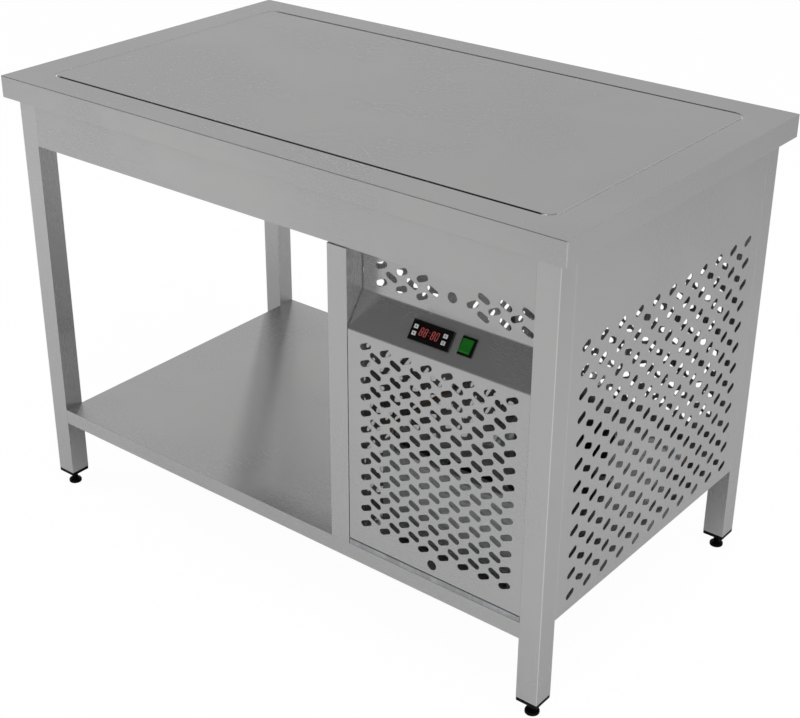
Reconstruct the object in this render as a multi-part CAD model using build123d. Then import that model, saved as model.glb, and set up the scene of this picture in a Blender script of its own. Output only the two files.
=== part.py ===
from build123d import *
import os
from math import pi

# Refrigerated work table: a cold plate in a folded worktop, an open storage bay with a shelf on the left
# and a ventilated bay with the refrigerating unit on the right.
# Millimetres. +X runs right along the front, the front faces -Y and +Z is up.
# The origin lies on the floor under the middle of the worktop.

# Overall size
table_length = 1200.0
table_depth = 700.0
table_height = 850.0

# Sheet thicknesses
top_sheet = 1.5
plate_sheet = 2.0
frame_sheet = 1.2
panel_sheet = 1.0

# Play of pieces that fit into each other without moving, and reach of cutters past a sheet
fit_play = 0.05
cut_reach = 15.0

# Worktop and the cold plate in its opening
lip_height = 40.0
lip_hem = 12.0
bend_radius = 2.0
plate_edge = 1.4
plate_length = 1067.0
plate_width = 575.0
plate_corner = 20.0
plate_inner_corner = 13.0
plate_skirt = 12.0
joint_gap = 2.0
seal_sink = 2.8
seal_corner_sides = 12
opening_flange = 13.5

# Evaporator and insulation under the cold plate
coil_runs = 6
coil_pitch = 100.0
coil_straight = 880.0
coil_tail = 40.0
coil_width = 10.0
coil_height = 8.0
coil_bend_sides = 8
pan_inset = 2.5
pan_depth = 72.5
pan_rim = 7.0
slab_corner = 14.0
probe_length = 60.0

# Legs and feet
leg_size = 40.0
leg_wall = 1.5
leg_edge = 1.8
leg_setback = 20.0
leg_bottom = 34.0
insert_flange = 7.0
insert_plug = 25.0
insert_play = 0.1
stem_radius = 6.0
stem_top = 62.0
stem_play = 0.05
stem_sides = 10
disc_radius = 12.5
disc_height = 6.5
disc_edge = 2.0
disc_sides = 12

# Aprons, shelf and unit tray
apron_bottom = 725.0
apron_flange = 25.0
shelf_top = 180.0
shelf_lip = 30.0
shelf_hem = 12.0
stiffener_crown = 50.0
stiffener_foot = 20.0
stiffener_margin = 60.0
tray_height = 10.0

# Partition, front, rear and side panels
partition_x = 150.0
post_width = 40.0
post_return = 42.0
panel_reveal = 2.0
panel_play = 0.6
panel_foot_gap = 1.5
panel_head_gap = 3.0
panel_flange = 12.0
panel_return = 15.0
side_play = 0.5
side_return = 20.0
side_top = 840.0

# Slanted console between the lower and the upper grille of the front panel
recess_depth = 40.0
console_foot = 586.0
console_head = 641.0

# Perforations: slots tilted both ways, in two interlaced grids
slot_tilt = 25.0
slot_size = (23.5, 11.0)
front_pitch = (40.0, 30.0)
front_start = 36.4
front_columns = 8
front_rows = 12
front_lowest = 236.0
upper_centre = 676.7
upper_columns = 3
upper_row_step = 15.0
access_hole = 9.0
access_lowest = 212.0
side_pitch = (50.0, 40.0)
side_columns = 11
side_rows = 12
side_lowest = 209.0

# Controller and switch, placed on the console
controller_x = 343.0
controller_face = (74.0, 33.0, 6.0)
controller_body = (70.4, 28.4, 55.0)
cutout_play = 0.3
bezel_edge = 1.0
window_size = (42.0, 20.0, 1.2)
window_shift = -0.8
key_size = (7.5, 6.5, 3.7)
key_places = (28.0, 5.5)
key_proud = 0.8
key_play = 0.3
key_edge = 0.3
key_well = 4.0
switch_x = 410.0
switch_up = 2.0
switch_face = (25.0, 30.0, 4.0)
switch_body = (22.2, 27.2, 28.0)
rocker_well = (20.6, 25.6, 14.0)
rocker_width = 20.0
rocker_radius = 12.45
rocker_sides = 24
rocker_pivot = -1.5
rocker_dip = 6.1
rocker_rise = 7.7
rocker_floor = -6.0
rocker_tilt = 9.0
trunnion_radius = 1.5
trunnion_sides = 12
trunnion_reach = 11.0
trunnion_play = 0.05

# Refrigerating unit on the tray
condenser_x = 365.0
condenser_y = -272.0
condenser_top = 374.0
header_offset = 128.0
header_size = 22.0
flat_tubes = 17
flat_tube_first = 202.0
flat_tube_step = 10.0
flat_tube_thickness = 2.0
fin_depth = 20.0
outlet_z = 206.0
fan_z = 282.0
shroud_width = 286.0
shroud_front = -259.0
shroud_back = -220.0
duct_back = -180.0
duct_radius = 85.0
duct_sides = 24
bar_length = 184.0
bar_height = 26.0
bar_thickness = 2.0
bar_hole = 7.0
bore_sides = 12
hub_radius = 24.0
hub_sides = 10
hub_front = -212.0
hub_back = -188.0
blade_count = 5
blade_root = (20.0, 28.0)
blade_tip = (75.0, 54.0)
blade_nose = 9.0
blade_pitch = 24.0
blade_thickness = 1.5
shaft_radius = 3.0
shaft_end = -166.0
shaft_play = 0.05
shaft_end_gap = 1.0
motor_size = 66.0
motor_length = 52.0
motor_edge = 12.0
compressor_x = 345.0
compressor_y = 60.0
can_radius = 75.0
can_floor = 207.0
can_height = 165.0
can_dome = 36.0
can_base = 14.0
can_sides = 16
cavity_radius = 66.0
cavity = (8.0, 118.0)
foot_plate = (200.0, 120.0, 3.0)
grommet_radius = 11.0
grommet_sides = 8
grommet_places = (160.0, 84.0)
nut_radius = 7.5
nut_height = 6.5
discharge_z = 302.0
suction_z = 312.0
terminal_cover = (45.0, 56.0, 60.0)
terminal_cover_z = 290.0
terminal_cover_sink = 15.0
drier_x = 524.0
drier_y = (158.0, 270.0)
drier_radius = 10.0
drier_sides = 12
pipe_radius = 4.0
pipe_offset = 28.0
pipe_bend = 12.0
capillary_y = 300.0
capillary_radius = 1.5
suction_radius = 5.0
riser_x = 470.0
riser_hole = 8.0
line_height = 746.0
terminal_box = (80.0, 75.0, 60.0)
terminal_box_edge = 1.0
terminal_box_place = (245.0, 272.0)
gland_place = (240.0, 216.0)
gland_thread = (8.0, 12.0)
gland_hex = (13.0, 5.0)
gland_nut = (11.0, 11.0)
gland_bore = 4.25
gland_sides = 12

# Faces worked out from the sizes above
top_under = table_height - top_sheet
leg_out_x = table_length / 2 - leg_setback
leg_out_y = table_depth / 2 - leg_setback
leg_in_x = leg_out_x - leg_size
leg_in_y = leg_out_y - leg_size
front_y = -leg_out_y
recess_y = front_y + recess_depth
post_right = partition_x + post_width
panel_left = post_right + panel_reveal
panel_right = leg_in_x - panel_play
panel_top = apron_bottom - panel_head_gap
tray_top = shelf_top + tray_height
panel_foot = tray_top + panel_foot_gap
plate_under = table_height - plate_sheet
coil_under = plate_under - coil_height
coil_edge = (coil_runs - 1) * coil_pitch / 2
rim_top = table_height - opening_flange
pan_floor = rim_top - pan_depth
pan_length = plate_length - 2 * pan_inset
pan_width = plate_width - 2 * pan_inset
corners = {"front_left": (-1, -1), "front_right": (1, -1), "rear_left": (-1, 1), "rear_right": (1, 1)}


# Shared shapes

def block(x0, x1, y0, y1, z0, z1):
    return Pos((x0 + x1) / 2, (y0 + y1) / 2, (z0 + z1) / 2) * Box(x1 - x0, y1 - y0, z1 - z0)


def folded(points, thickness):
    """Section of a sheet bent along a line; the sheet lies to the right of the line."""
    edge = offset(Polyline(*points), thickness, side=Side.RIGHT, kind=Kind.INTERSECTION)
    return make_face(edge.edges())


def prism(length, width, z0, z1):
    return Pos(0, 0, z0) * extrude(Rectangle(length, width), z1 - z0)


def rounded_prism(length, width, corner, z0, z1):
    return Pos(0, 0, z0) * extrude(RectangleRounded(length, width, corner), z1 - z0)


def cornered(length, width, corner, sides, inscribed):
    """Rectangle whose corners follow a polygon, inside or outside a corner arc."""
    turn = 0 if inscribed else 180 / sides
    bend = RegularPolygon(corner, sides, major_radius=inscribed, rotation=turn)
    outline = Rectangle(length - 2 * corner, width) + Rectangle(length, width - 2 * corner)
    return outline + GridLocations(length - 2 * corner, width - 2 * corner, 2, 2) * bend


def pipe(points, radius):
    """A pipe of six-sided section along straight runs; each corner is taken by one short slanting run."""
    runs = [Vector(*point) for point in points]
    line = [runs[0]]
    for before, corner, after in zip(runs, runs[1:], runs[2:]):
        line.append(corner + (before - corner).normalized() * pipe_bend)
        line.append(corner + (after - corner).normalized() * pipe_bend)
    path = Polyline(*line, runs[-1])
    section = Plane(path @ 0, z_dir=path % 0) * RegularPolygon(radius, 6)
    return sweep(section, path=path, transition=Transition.RIGHT)


def slot_centres(columns, rows, start, lowest, pitch):
    """Centres of two interlaced grids: those that rise to the right, then those that fall."""
    rising = [(start + i * pitch[0], lowest + j * pitch[1]) for i in range(columns) for j in range(rows)]
    falling = [(u + pitch[0] / 2, v + pitch[1] / 2) for u, v in rising
               if u < start + (columns - 1.5) * pitch[0] and v < lowest + (rows - 1.5) * pitch[1]]
    return rising, falling


def slots(rising, falling):
    """Tilted slots with square ends, of the same open area as round-ended ones."""
    length, width = slot_size
    outline = Rectangle(length - width * (1 - pi / 4), width)
    up = [Pos(u, v) * Rot(0, 0, slot_tilt) * outline for u, v in rising]
    down = [Pos(u, v) * Rot(0, 0, -slot_tilt) * outline for u, v in falling]
    return up + down


# Worktop, cold plate and what lies under it

def make_worktop():
    lip_foot = table_height - lip_height
    top = prism(table_length, table_depth, lip_foot, table_height)
    top = chamfer(top.faces().sort_by(Axis.Z)[-1].edges(), bend_radius / 2)
    inner = (table_length - 2 * top_sheet, table_depth - 2 * top_sheet)
    top -= prism(*inner, lip_foot, top_under)
    hem = Rectangle(*inner) - Rectangle(inner[0] - 2 * lip_hem, inner[1] - 2 * lip_hem)
    top += Pos(0, 0, lip_foot) * extrude(hem, top_sheet)
    opening = (plate_length + 2 * joint_gap, plate_width + 2 * joint_gap)
    opening_corner = plate_corner + joint_gap
    collar = [side + 2 * top_sheet for side in opening]
    top += prism(*collar, rim_top, top_under)
    top -= rounded_prism(*opening, opening_corner, rim_top, table_height)
    mouth = top.faces().sort_by(Axis.Z)[-1].inner_wires()[0]
    return chamfer(mouth.edges(), plate_edge)


def make_cold_plate():
    foot = table_height - plate_skirt
    plate = rounded_prism(plate_length, plate_width, plate_corner, foot, table_height)
    plate = chamfer(plate.faces().sort_by(Axis.Z)[-1].edges(), plate_edge)
    inner = Rectangle(plate_length - 2 * plate_sheet, plate_width - 2 * plate_sheet)
    inner = chamfer(inner.vertices(), plate_inner_corner)
    return plate - Pos(0, 0, foot) * extrude(inner, plate_under - foot)


def make_plate_seal():
    outline = [cornered(plate_length + 2 * reach, plate_width + 2 * reach, plate_corner + reach,
                        seal_corner_sides, inscribed)
               for reach, inscribed in ((joint_gap - fit_play, True), (fit_play, False))]
    return Pos(0, 0, rim_top) * extrude(outline[0] - outline[1], table_height - seal_sink - rim_top)


def make_evaporator_coil():
    half = coil_straight / 2
    outline = Sketch()
    for run in range(coil_runs):
        y = -coil_edge + run * coil_pitch
        tail = coil_tail if run in (0, coil_runs - 1) else 0
        outline += Pos(tail / 2, y) * Rectangle(coil_straight + tail, coil_width)
    bend = RegularPolygon((coil_pitch + coil_width) / 2, coil_bend_sides)
    bend -= RegularPolygon((coil_pitch - coil_width) / 2, coil_bend_sides)
    bend &= Pos(coil_pitch, 0) * Rectangle(2 * coil_pitch, 2 * coil_pitch)
    for turn in range(coil_runs - 1):
        y = -coil_edge + (turn + 0.5) * coil_pitch
        side = -1 if turn % 2 == 0 else 1
        outline += Pos(side * half, y) * Rot(0, 0, 0 if side > 0 else 180) * bend
    return Pos(0, 0, coil_under) * extrude(outline, coil_height)


def riser_holes(z0, z1):
    hole = Pos(0, 0, z0) * extrude(RegularPolygon(riser_hole, 6), z1 - z0)
    return [Pos(riser_x, side * coil_edge, 0) * hole for side in (-1, 1)]


def make_insulation_slab():
    length = pan_length - 2 * frame_sheet
    width = pan_width - 2 * frame_sheet
    z0 = pan_floor + frame_sheet
    outline = chamfer(Rectangle(length, width).vertices(), slab_corner)
    return Pos(0, 0, z0) * extrude(outline, coil_under - z0) - riser_holes(z0, coil_under)


def make_insulation_pan():
    floor_top = pan_floor + frame_sheet
    pan = prism(pan_length, pan_width, pan_floor, rim_top)
    pan += prism(pan_length + 2 * pan_rim, pan_width + 2 * pan_rim, rim_top - frame_sheet, rim_top)
    pan -= prism(pan_length - 2 * frame_sheet, pan_width - 2 * frame_sheet, floor_top, rim_top)
    return pan - riser_holes(pan_floor, floor_top)


def make_plate_probe():
    radius = (plate_under - coil_under) / 2
    outline = RegularPolygon(radius, 4, major_radius=False, rotation=45)
    return extrude(Plane.YZ * Pos(0, plate_under - radius) * outline, probe_length / 2, both=True)


# Legs and feet

def make_leg(side_x, side_y):
    inside = leg_size - 2 * leg_wall
    section = chamfer(Rectangle(leg_size, leg_size).vertices(), leg_edge) - Rectangle(inside, inside)
    x = side_x * (leg_out_x - leg_size / 2)
    y = side_y * (leg_out_y - leg_size / 2)
    return Pos(x, y, leg_bottom) * extrude(section, top_under - leg_bottom)


def make_leg_insert(side_x, side_y):
    plug_side = leg_size - 2 * leg_wall - 2 * insert_play
    flange = chamfer(Rectangle(leg_size, leg_size).vertices(), leg_edge)
    insert = extrude(flange, -insert_flange) + prism(plug_side, plug_side, 0, insert_plug)
    bore_outline = RegularPolygon(stem_radius + stem_play, stem_sides, major_radius=False)
    stem_bore = Pos(0, 0, -insert_flange) * extrude(bore_outline, insert_flange + insert_plug)
    x = side_x * (leg_out_x - leg_size / 2)
    y = side_y * (leg_out_y - leg_size / 2)
    return Pos(x, y, leg_bottom) * (insert - stem_bore)


def make_foot(side_x, side_y):
    disc = extrude(RegularPolygon(disc_radius, disc_sides), disc_height)
    foot = chamfer(disc.faces().sort_by(Axis.Z)[-1].edges(), disc_edge)
    foot += extrude(RegularPolygon(stem_radius, stem_sides, major_radius=False), stem_top)
    x = side_x * (leg_out_x - leg_size / 2)
    y = side_y * (leg_out_y - leg_size / 2)
    return Pos(x, y, 0) * foot


# Frame sheets

def apron_section(face):
    """Channel open to the inside, from the apron's lower edge up to the worktop sheet."""
    return folded([(face + apron_flange, apron_bottom), (face, apron_bottom),
                   (face, top_under), (face + apron_flange, top_under)], frame_sheet)


def make_front_apron():
    return extrude(Plane.YZ * apron_section(front_y), leg_in_x, both=True)


def make_rear_apron():
    return mirror(make_front_apron(), Plane.XZ)


def make_left_apron():
    return extrude(Plane.XZ * apron_section(-leg_out_x), leg_in_y, both=True)


def make_right_rail():
    rail = extrude(Plane.XZ * apron_section(panel_sheet - leg_out_x), leg_in_y, both=True)
    return mirror(rail, Plane.YZ)


def make_shelf():
    length = 2 * leg_in_x
    width = 2 * leg_out_y
    foot = shelf_top - shelf_lip
    shelf = prism(length, width, foot, shelf_top)
    shelf = chamfer(shelf.faces().sort_by(Axis.Z)[-1].edges(), bend_radius / 2)
    shelf -= prism(length - 2 * frame_sheet, width - 2 * frame_sheet, foot, shelf_top - frame_sheet)
    for side in (-1, 1):
        hem = Box(length - 2 * frame_sheet, shelf_hem, frame_sheet)
        shelf += Pos(0, side * (leg_out_y - shelf_hem / 2), foot + frame_sheet / 2) * hem
    return shelf


def make_shelf_stiffener():
    under = shelf_top - frame_sheet
    foot = shelf_top - shelf_lip + 2 * frame_sheet
    half = stiffener_crown / 2
    section = folded([(-half - stiffener_foot, under), (-half, under), (-half, foot),
                      (half, foot), (half, under), (half + stiffener_foot, under)], frame_sheet)
    return extrude(Plane.YZ * section, leg_in_x - stiffener_margin, both=True)


def make_unit_tray():
    left = post_right + panel_sheet
    right = leg_in_x - panel_sheet
    tray = block(left, right, front_y, leg_out_y, shelf_top, tray_top)
    return tray - block(left + frame_sheet, right - frame_sheet, front_y + frame_sheet,
                        leg_out_y - frame_sheet, shelf_top, tray_top - frame_sheet)


# Panels round the unit bay

def make_partition():
    plan = folded([(post_right, front_y + post_return), (post_right, front_y),
                   (partition_x, front_y), (partition_x, leg_out_y),
                   (post_right, leg_out_y), (post_right, leg_out_y - panel_flange)], panel_sheet)
    wall = Pos(0, 0, shelf_top) * extrude(plan, panel_top - shelf_top)
    reach = leg_in_y - panel_flange
    inner = partition_x + side_return
    flanges = folded([(inner, shelf_top), (partition_x, shelf_top),
                      (partition_x, pan_floor), (inner, pan_floor)], panel_sheet)
    return wall + extrude(Plane.XZ * flanges, reach, both=True)


def make_side_panel():
    half = leg_in_y - side_play
    sheet = Pos(0, (shelf_top + side_top) / 2) * Rectangle(2 * half, side_top - shelf_top)
    columns_half = (side_columns - 1) * side_pitch[0] / 2
    grid = slot_centres(side_columns, side_rows, -columns_half, side_lowest, side_pitch)
    holes = [hole.face().outer_wire() for hole in slots(*grid)]
    skin = Face(sheet.face().outer_wire(), holes)
    panel = extrude(Plane.YZ.offset(leg_out_x - panel_sheet) * skin, panel_sheet)
    panel += block(leg_in_x + panel_sheet, leg_out_x, -half, half, shelf_top, shelf_top + panel_sheet)
    for side in (-1, 1):
        edge = side * (half - panel_sheet / 2)
        panel += block(leg_out_x - side_return, leg_out_x, edge - panel_sheet / 2, edge + panel_sheet / 2,
                       shelf_top, apron_bottom - panel_reveal)
    return panel


def front_slots():
    start = panel_left + front_start
    lower = slot_centres(front_columns, front_rows, start, front_lowest, front_pitch)
    half_pitch = front_pitch[0] / 2
    middle = (panel_left + leg_in_x) / 2
    outer = [(start + i * front_pitch[0], upper_centre + k * upper_row_step)
             for i in range(upper_columns) for k in (-1, 1)]
    inner = [(start + half_pitch + i * front_pitch[0], upper_centre) for i in range(upper_columns)]
    mirrored_outer = [(2 * middle - u, v) for u, v in outer]
    mirrored_inner = [(2 * middle - u, v) for u, v in inner]
    upper = slots(outer + mirrored_inner, inner + mirrored_outer)
    round_holes = [Pos(middle, v) * Circle(access_hole) for v in (access_lowest, upper_centre)]
    return slots(*lower) + upper + round_holes


def console_plane(x, up):
    """Outer face of the console: local x runs right, local y up the slope, local z out to the front."""
    slope = Vector(0, recess_depth, console_head - console_foot).normalized()
    middle = Vector(x, (front_y + recess_y) / 2, (console_foot + console_head) / 2)
    return Plane(middle + slope * up, x_dir=(1, 0, 0), z_dir=(0, -slope.Z, slope.Y))


def make_front_panel():
    section = folded([(front_y + panel_flange, panel_foot), (front_y, panel_foot),
                      (front_y, console_foot), (recess_y, console_head),
                      (recess_y, panel_top), (recess_y + panel_flange, panel_top)], panel_sheet)
    panel = Pos(panel_left, 0, 0) * extrude(Plane.YZ * section, panel_right - panel_left)
    return_top = console_foot - panel_return
    for x in (panel_left, panel_right - panel_sheet):
        panel += block(x, x + panel_sheet, front_y, front_y + panel_return, panel_foot, return_top)
    bores = [extrude(Plane.XZ.offset(-recess_y) * hole, recess_depth + panel_flange / 2, both=True)
             for hole in front_slots()]
    panel -= bores
    for plane, body in ((console_plane(controller_x, 0), controller_body),
                        (console_plane(switch_x, switch_up), switch_body)):
        hole = Rectangle(body[0] + 2 * cutout_play, body[1] + 2 * cutout_play)
        panel -= extrude(plane * hole, cut_reach, both=True)
    return panel


def make_rear_panel():
    section = folded([(front_y + panel_flange, panel_foot), (front_y, panel_foot),
                      (front_y, panel_top), (front_y + panel_flange, panel_top)], panel_sheet)
    panel = Pos(panel_left, 0, 0) * extrude(Plane.YZ * section, panel_right - panel_left)
    x, z = gland_place
    hole = Plane.XZ.offset(leg_out_y) * Pos(x, z) * RegularPolygon(gland_thread[0], gland_sides)
    return mirror(panel - extrude(hole, cut_reach, both=True), Plane.XZ)


# Controller and switch

def key_centres():
    return [(side * key_places[0], row * key_places[1]) for side in (-1, 1) for row in (1, -1)]


def make_controller_housing():
    width, height, depth = controller_face
    face = prism(width, height, 0, depth)
    face = chamfer(face.faces().sort_by(Axis.Z)[-1].edges(), bezel_edge)
    face += extrude(Rectangle(*controller_body[:2]), -controller_body[2])
    window = Rectangle(window_size[0] + fit_play, window_size[1] + fit_play)
    face -= Pos(window_shift, 0, depth - window_size[2]) * extrude(window, window_size[2])
    well = extrude(Rectangle(key_size[0] + 2 * key_play, key_size[1] + 2 * key_play), key_well)
    for u, v in key_centres():
        face -= Pos(u, v, depth - key_well) * well
    return console_plane(controller_x, 0) * face


def make_display_window():
    width, height, depth = window_size
    window = prism(width, height, controller_face[2] - depth, controller_face[2])
    return console_plane(controller_x, 0) * Pos(window_shift, 0, 0) * window


def make_key(u, v):
    key = extrude(Rectangle(*key_size[:2]), key_size[2])
    key = chamfer(key.faces().sort_by(Axis.Z)[-1].edges(), key_edge)
    return console_plane(controller_x, 0) * (Pos(u, v, controller_face[2] + key_proud - key_size[2]) * key)


def make_switch_housing():
    width, height, depth = switch_face
    body = prism(width, height, 0, depth)
    body = chamfer(body.faces().sort_by(Axis.Z)[-1].edges(), bezel_edge)
    body += extrude(Rectangle(*switch_body[:2]), -switch_body[2])
    body -= Pos(0, 0, depth) * extrude(Rectangle(*rocker_well[:2]), -rocker_well[2])
    pivot = RegularPolygon(trunnion_radius + trunnion_play, trunnion_sides, major_radius=False)
    body -= Pos(0, 0, rocker_pivot) * extrude(Plane.YZ * pivot, width / 2, both=True)
    return console_plane(switch_x, switch_up) * body


def make_rocker():
    reach = rocker_radius + bezel_edge
    profile = Polyline((-reach, rocker_floor), (reach, rocker_floor), (reach, rocker_rise), (0, rocker_dip),
                       (-reach, rocker_rise), close=True)
    rocker = extrude(Plane.YZ * make_face(profile.edges()), rocker_width / 2, both=True)
    rocker &= extrude(Plane.YZ * RegularPolygon(rocker_radius, rocker_sides), rocker_width / 2, both=True)
    rocker += extrude(Plane.YZ * Circle(trunnion_radius), trunnion_reach, both=True)
    turned = Pos(0, 0, rocker_pivot) * Rot(-rocker_tilt, 0, 0) * rocker
    return console_plane(switch_x, switch_up) * turned


# Condenser and fan

def make_condenser_tubes():
    outline = Sketch()
    for side in (-1, 1):
        outline += Pos(side * header_offset, (tray_top + condenser_top) / 2) * Rectangle(
            header_size, condenser_top - tray_top)
    tube = Rectangle(2 * header_offset, flat_tube_thickness)
    for i in range(flat_tubes):
        outline += Pos(0, flat_tube_first + i * flat_tube_step) * tube
    middle = Plane.XZ.offset(-condenser_y) * Pos(condenser_x, 0)
    return extrude(middle * outline, header_size / 2, both=True)


def make_condenser_fins():
    pack = Box(2 * header_offset - header_size, fin_depth, flat_tube_step - flat_tube_thickness)
    first = flat_tube_first + flat_tube_step / 2
    return Compound([Pos(condenser_x, condenser_y, first + i * flat_tube_step) * pack
                     for i in range(flat_tubes - 1)])


def make_fan_shroud():
    height = condenser_top - tray_top
    outline = Rectangle(shroud_width, height)
    wall = outline - Rectangle(shroud_width - 2 * frame_sheet, height - 2 * frame_sheet)
    at = Plane.XZ.offset(-shroud_front) * Pos(condenser_x, tray_top + height / 2)
    shroud = extrude(at * wall, shroud_front - shroud_back)
    back = Plane.XZ.offset(-shroud_back) * Pos(condenser_x, 0)
    mouth = Pos(0, fan_z) * RegularPolygon(duct_radius, duct_sides)
    shroud += extrude(back * (Pos(0, tray_top + height / 2) * outline - mouth), frame_sheet)
    ring = Pos(0, fan_z) * RegularPolygon(duct_radius + frame_sheet, duct_sides) - mouth
    return shroud + extrude(back * ring, shroud_back - duct_back)


def bore(radius, y0, y1):
    """Cutter on the fan's axis from y0 to y1, a polygon that a round bar of this radius fits."""
    outline = RegularPolygon(radius, bore_sides, major_radius=False)
    return extrude(Plane.XZ.offset(-y0) * Pos(condenser_x, fan_z) * outline, y0 - y1)


def make_fan_bar():
    back = duct_back + bar_thickness
    bar = Pos(condenser_x, (duct_back + back) / 2, fan_z) * Box(bar_length, bar_thickness, bar_height)
    return bar - bore(bar_hole, duct_back, back)


def make_fan_rotor():
    root, root_half = blade_root[0], blade_root[1] / 2
    tip, tip_half = blade_tip[0], blade_tip[1] / 2
    outline = Polyline((root, -root_half), (tip - blade_nose, -tip_half), (tip, -tip_half + blade_nose),
                       (tip, tip_half - blade_nose), (tip - blade_nose, tip_half),
                       (root, root_half), close=True)
    blade = extrude(Plane.XZ * make_face(outline.edges()), blade_thickness / 2, both=True)
    rotor = extrude(Plane.XZ * RegularPolygon(hub_radius, hub_sides), (hub_back - hub_front) / 2, both=True)
    for i in range(blade_count):
        rotor += Rot(0, 360 / blade_count * i, 0) * Rot(blade_pitch, 0, 0) * blade
    placed = Pos(condenser_x, (hub_front + hub_back) / 2, fan_z) * rotor
    return placed - bore(shaft_radius, hub_front, hub_back)


def make_fan_shaft():
    middle = Pos(condenser_x, (hub_front + shaft_end) / 2, fan_z)
    return middle * Cylinder(shaft_radius, shaft_end - hub_front, rotation=(90, 0, 0))


def make_fan_motor():
    front = duct_back + bar_thickness
    core = chamfer(Rectangle(motor_size, motor_size).vertices(), motor_edge)
    motor = extrude(Plane.XZ.offset(-front) * Pos(condenser_x, fan_z) * core, -motor_length)
    return motor - bore(shaft_radius + shaft_play, front, shaft_end + shaft_end_gap)


# Compressor and pipes

def make_compressor():
    can = extrude(RegularPolygon(can_radius, can_sides), can_height)
    can = chamfer(can.faces().sort_by(Axis.Z)[-1].edges(), can_dome / 2, can_dome)
    can = chamfer(can.faces().sort_by(Axis.Z)[0].edges(), can_base)
    can -= Pos(0, 0, cavity[0]) * extrude(RegularPolygon(cavity_radius, can_sides), cavity[1] - cavity[0])
    can += prism(foot_plate[0], foot_plate[1], -foot_plate[2], 0)
    return Pos(compressor_x, compressor_y, can_floor) * can


def make_terminal_cover():
    depth, width, height = terminal_cover
    x = can_radius + depth / 2 - terminal_cover_sink
    can = RegularPolygon(can_radius + fit_play, can_sides)
    cover = Pos(x, 0, 0) * Box(depth, width, height) - extrude(can, height / 2, both=True)
    return Pos(compressor_x, compressor_y, terminal_cover_z) * cover


def on_foot_plate(piece, z):
    """One copy of a piece at each corner of the compressor's foot plate."""
    return Compound([Pos(compressor_x, compressor_y, z) * location * piece
                     for location in GridLocations(*grommet_places, 2, 2)])


def make_compressor_grommets():
    height = can_floor - foot_plate[2] - tray_top
    return on_foot_plate(extrude(RegularPolygon(grommet_radius, grommet_sides), height).solid(), tray_top)


def make_compressor_nuts():
    return on_foot_plate(extrude(RegularPolygon(nut_radius, 6), nut_height).solid(), can_floor)


def make_filter_drier():
    front = Plane.XZ.offset(-drier_y[0]) * Pos(drier_x, outlet_z)
    drier = extrude(front * RegularPolygon(drier_radius, drier_sides), drier_y[0] - drier_y[1])
    ends = drier.faces().sort_by(Axis.Y)[0].edges() + drier.faces().sort_by(Axis.Y)[-1].edges()
    return chamfer(ends, drier_radius / 2)


def make_discharge_line():
    start = compressor_y - can_radius
    back = start - pipe_offset
    over = condenser_top + pipe_offset
    header_x = condenser_x - header_offset
    return pipe([(compressor_x, start, discharge_z), (compressor_x, back, discharge_z),
                 (compressor_x, back, over), (header_x, back, over), (header_x, condenser_y, over),
                 (header_x, condenser_y, condenser_top)], pipe_radius)


def make_liquid_line():
    header_face = condenser_x + header_offset + header_size / 2
    return pipe([(header_face, condenser_y, outlet_z), (drier_x, condenser_y, outlet_z),
                 (drier_x, drier_y[0], outlet_z)], pipe_radius)


def make_capillary_tube():
    return pipe([(drier_x, drier_y[1], outlet_z), (drier_x, capillary_y, outlet_z),
                 (drier_x, capillary_y, line_height), (riser_x, coil_edge, line_height),
                 (riser_x, coil_edge, coil_under)], capillary_radius)


def make_suction_line():
    end = compressor_x - can_radius
    drop_x = end - pipe_offset
    return pipe([(riser_x, -coil_edge, coil_under), (riser_x, -coil_edge, line_height),
                 (drop_x, -coil_edge, line_height), (drop_x, compressor_y, line_height),
                 (drop_x, compressor_y, suction_z), (end, compressor_y, suction_z)], suction_radius)


# Mains connection

def make_terminal_box():
    length, width, height = terminal_box
    box = prism(length, width, 0, height)
    box = chamfer(box.faces().sort_by(Axis.Z)[-1].edges(), terminal_box_edge)
    return Pos(*terminal_box_place, tray_top) * box


def make_cord_gland():
    gland = extrude(RegularPolygon(gland_hex[0], 6), gland_hex[1])
    gland += Pos(0, 0, gland_hex[1]) * extrude(RegularPolygon(gland_nut[0], 6), gland_nut[1])
    gland += extrude(RegularPolygon(gland_thread[0] - fit_play, gland_sides), -gland_thread[1])
    length = gland_thread[1] + gland_hex[1] + gland_nut[1]
    cord_bore = Pos(0, 0, -gland_thread[1]) * extrude(RegularPolygon(gland_bore, gland_sides), length)
    x, z = gland_place
    return Plane((x, leg_out_y, z), x_dir=(1, 0, 0), z_dir=(0, 1, 0)) * (gland - cord_bore)


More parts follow.
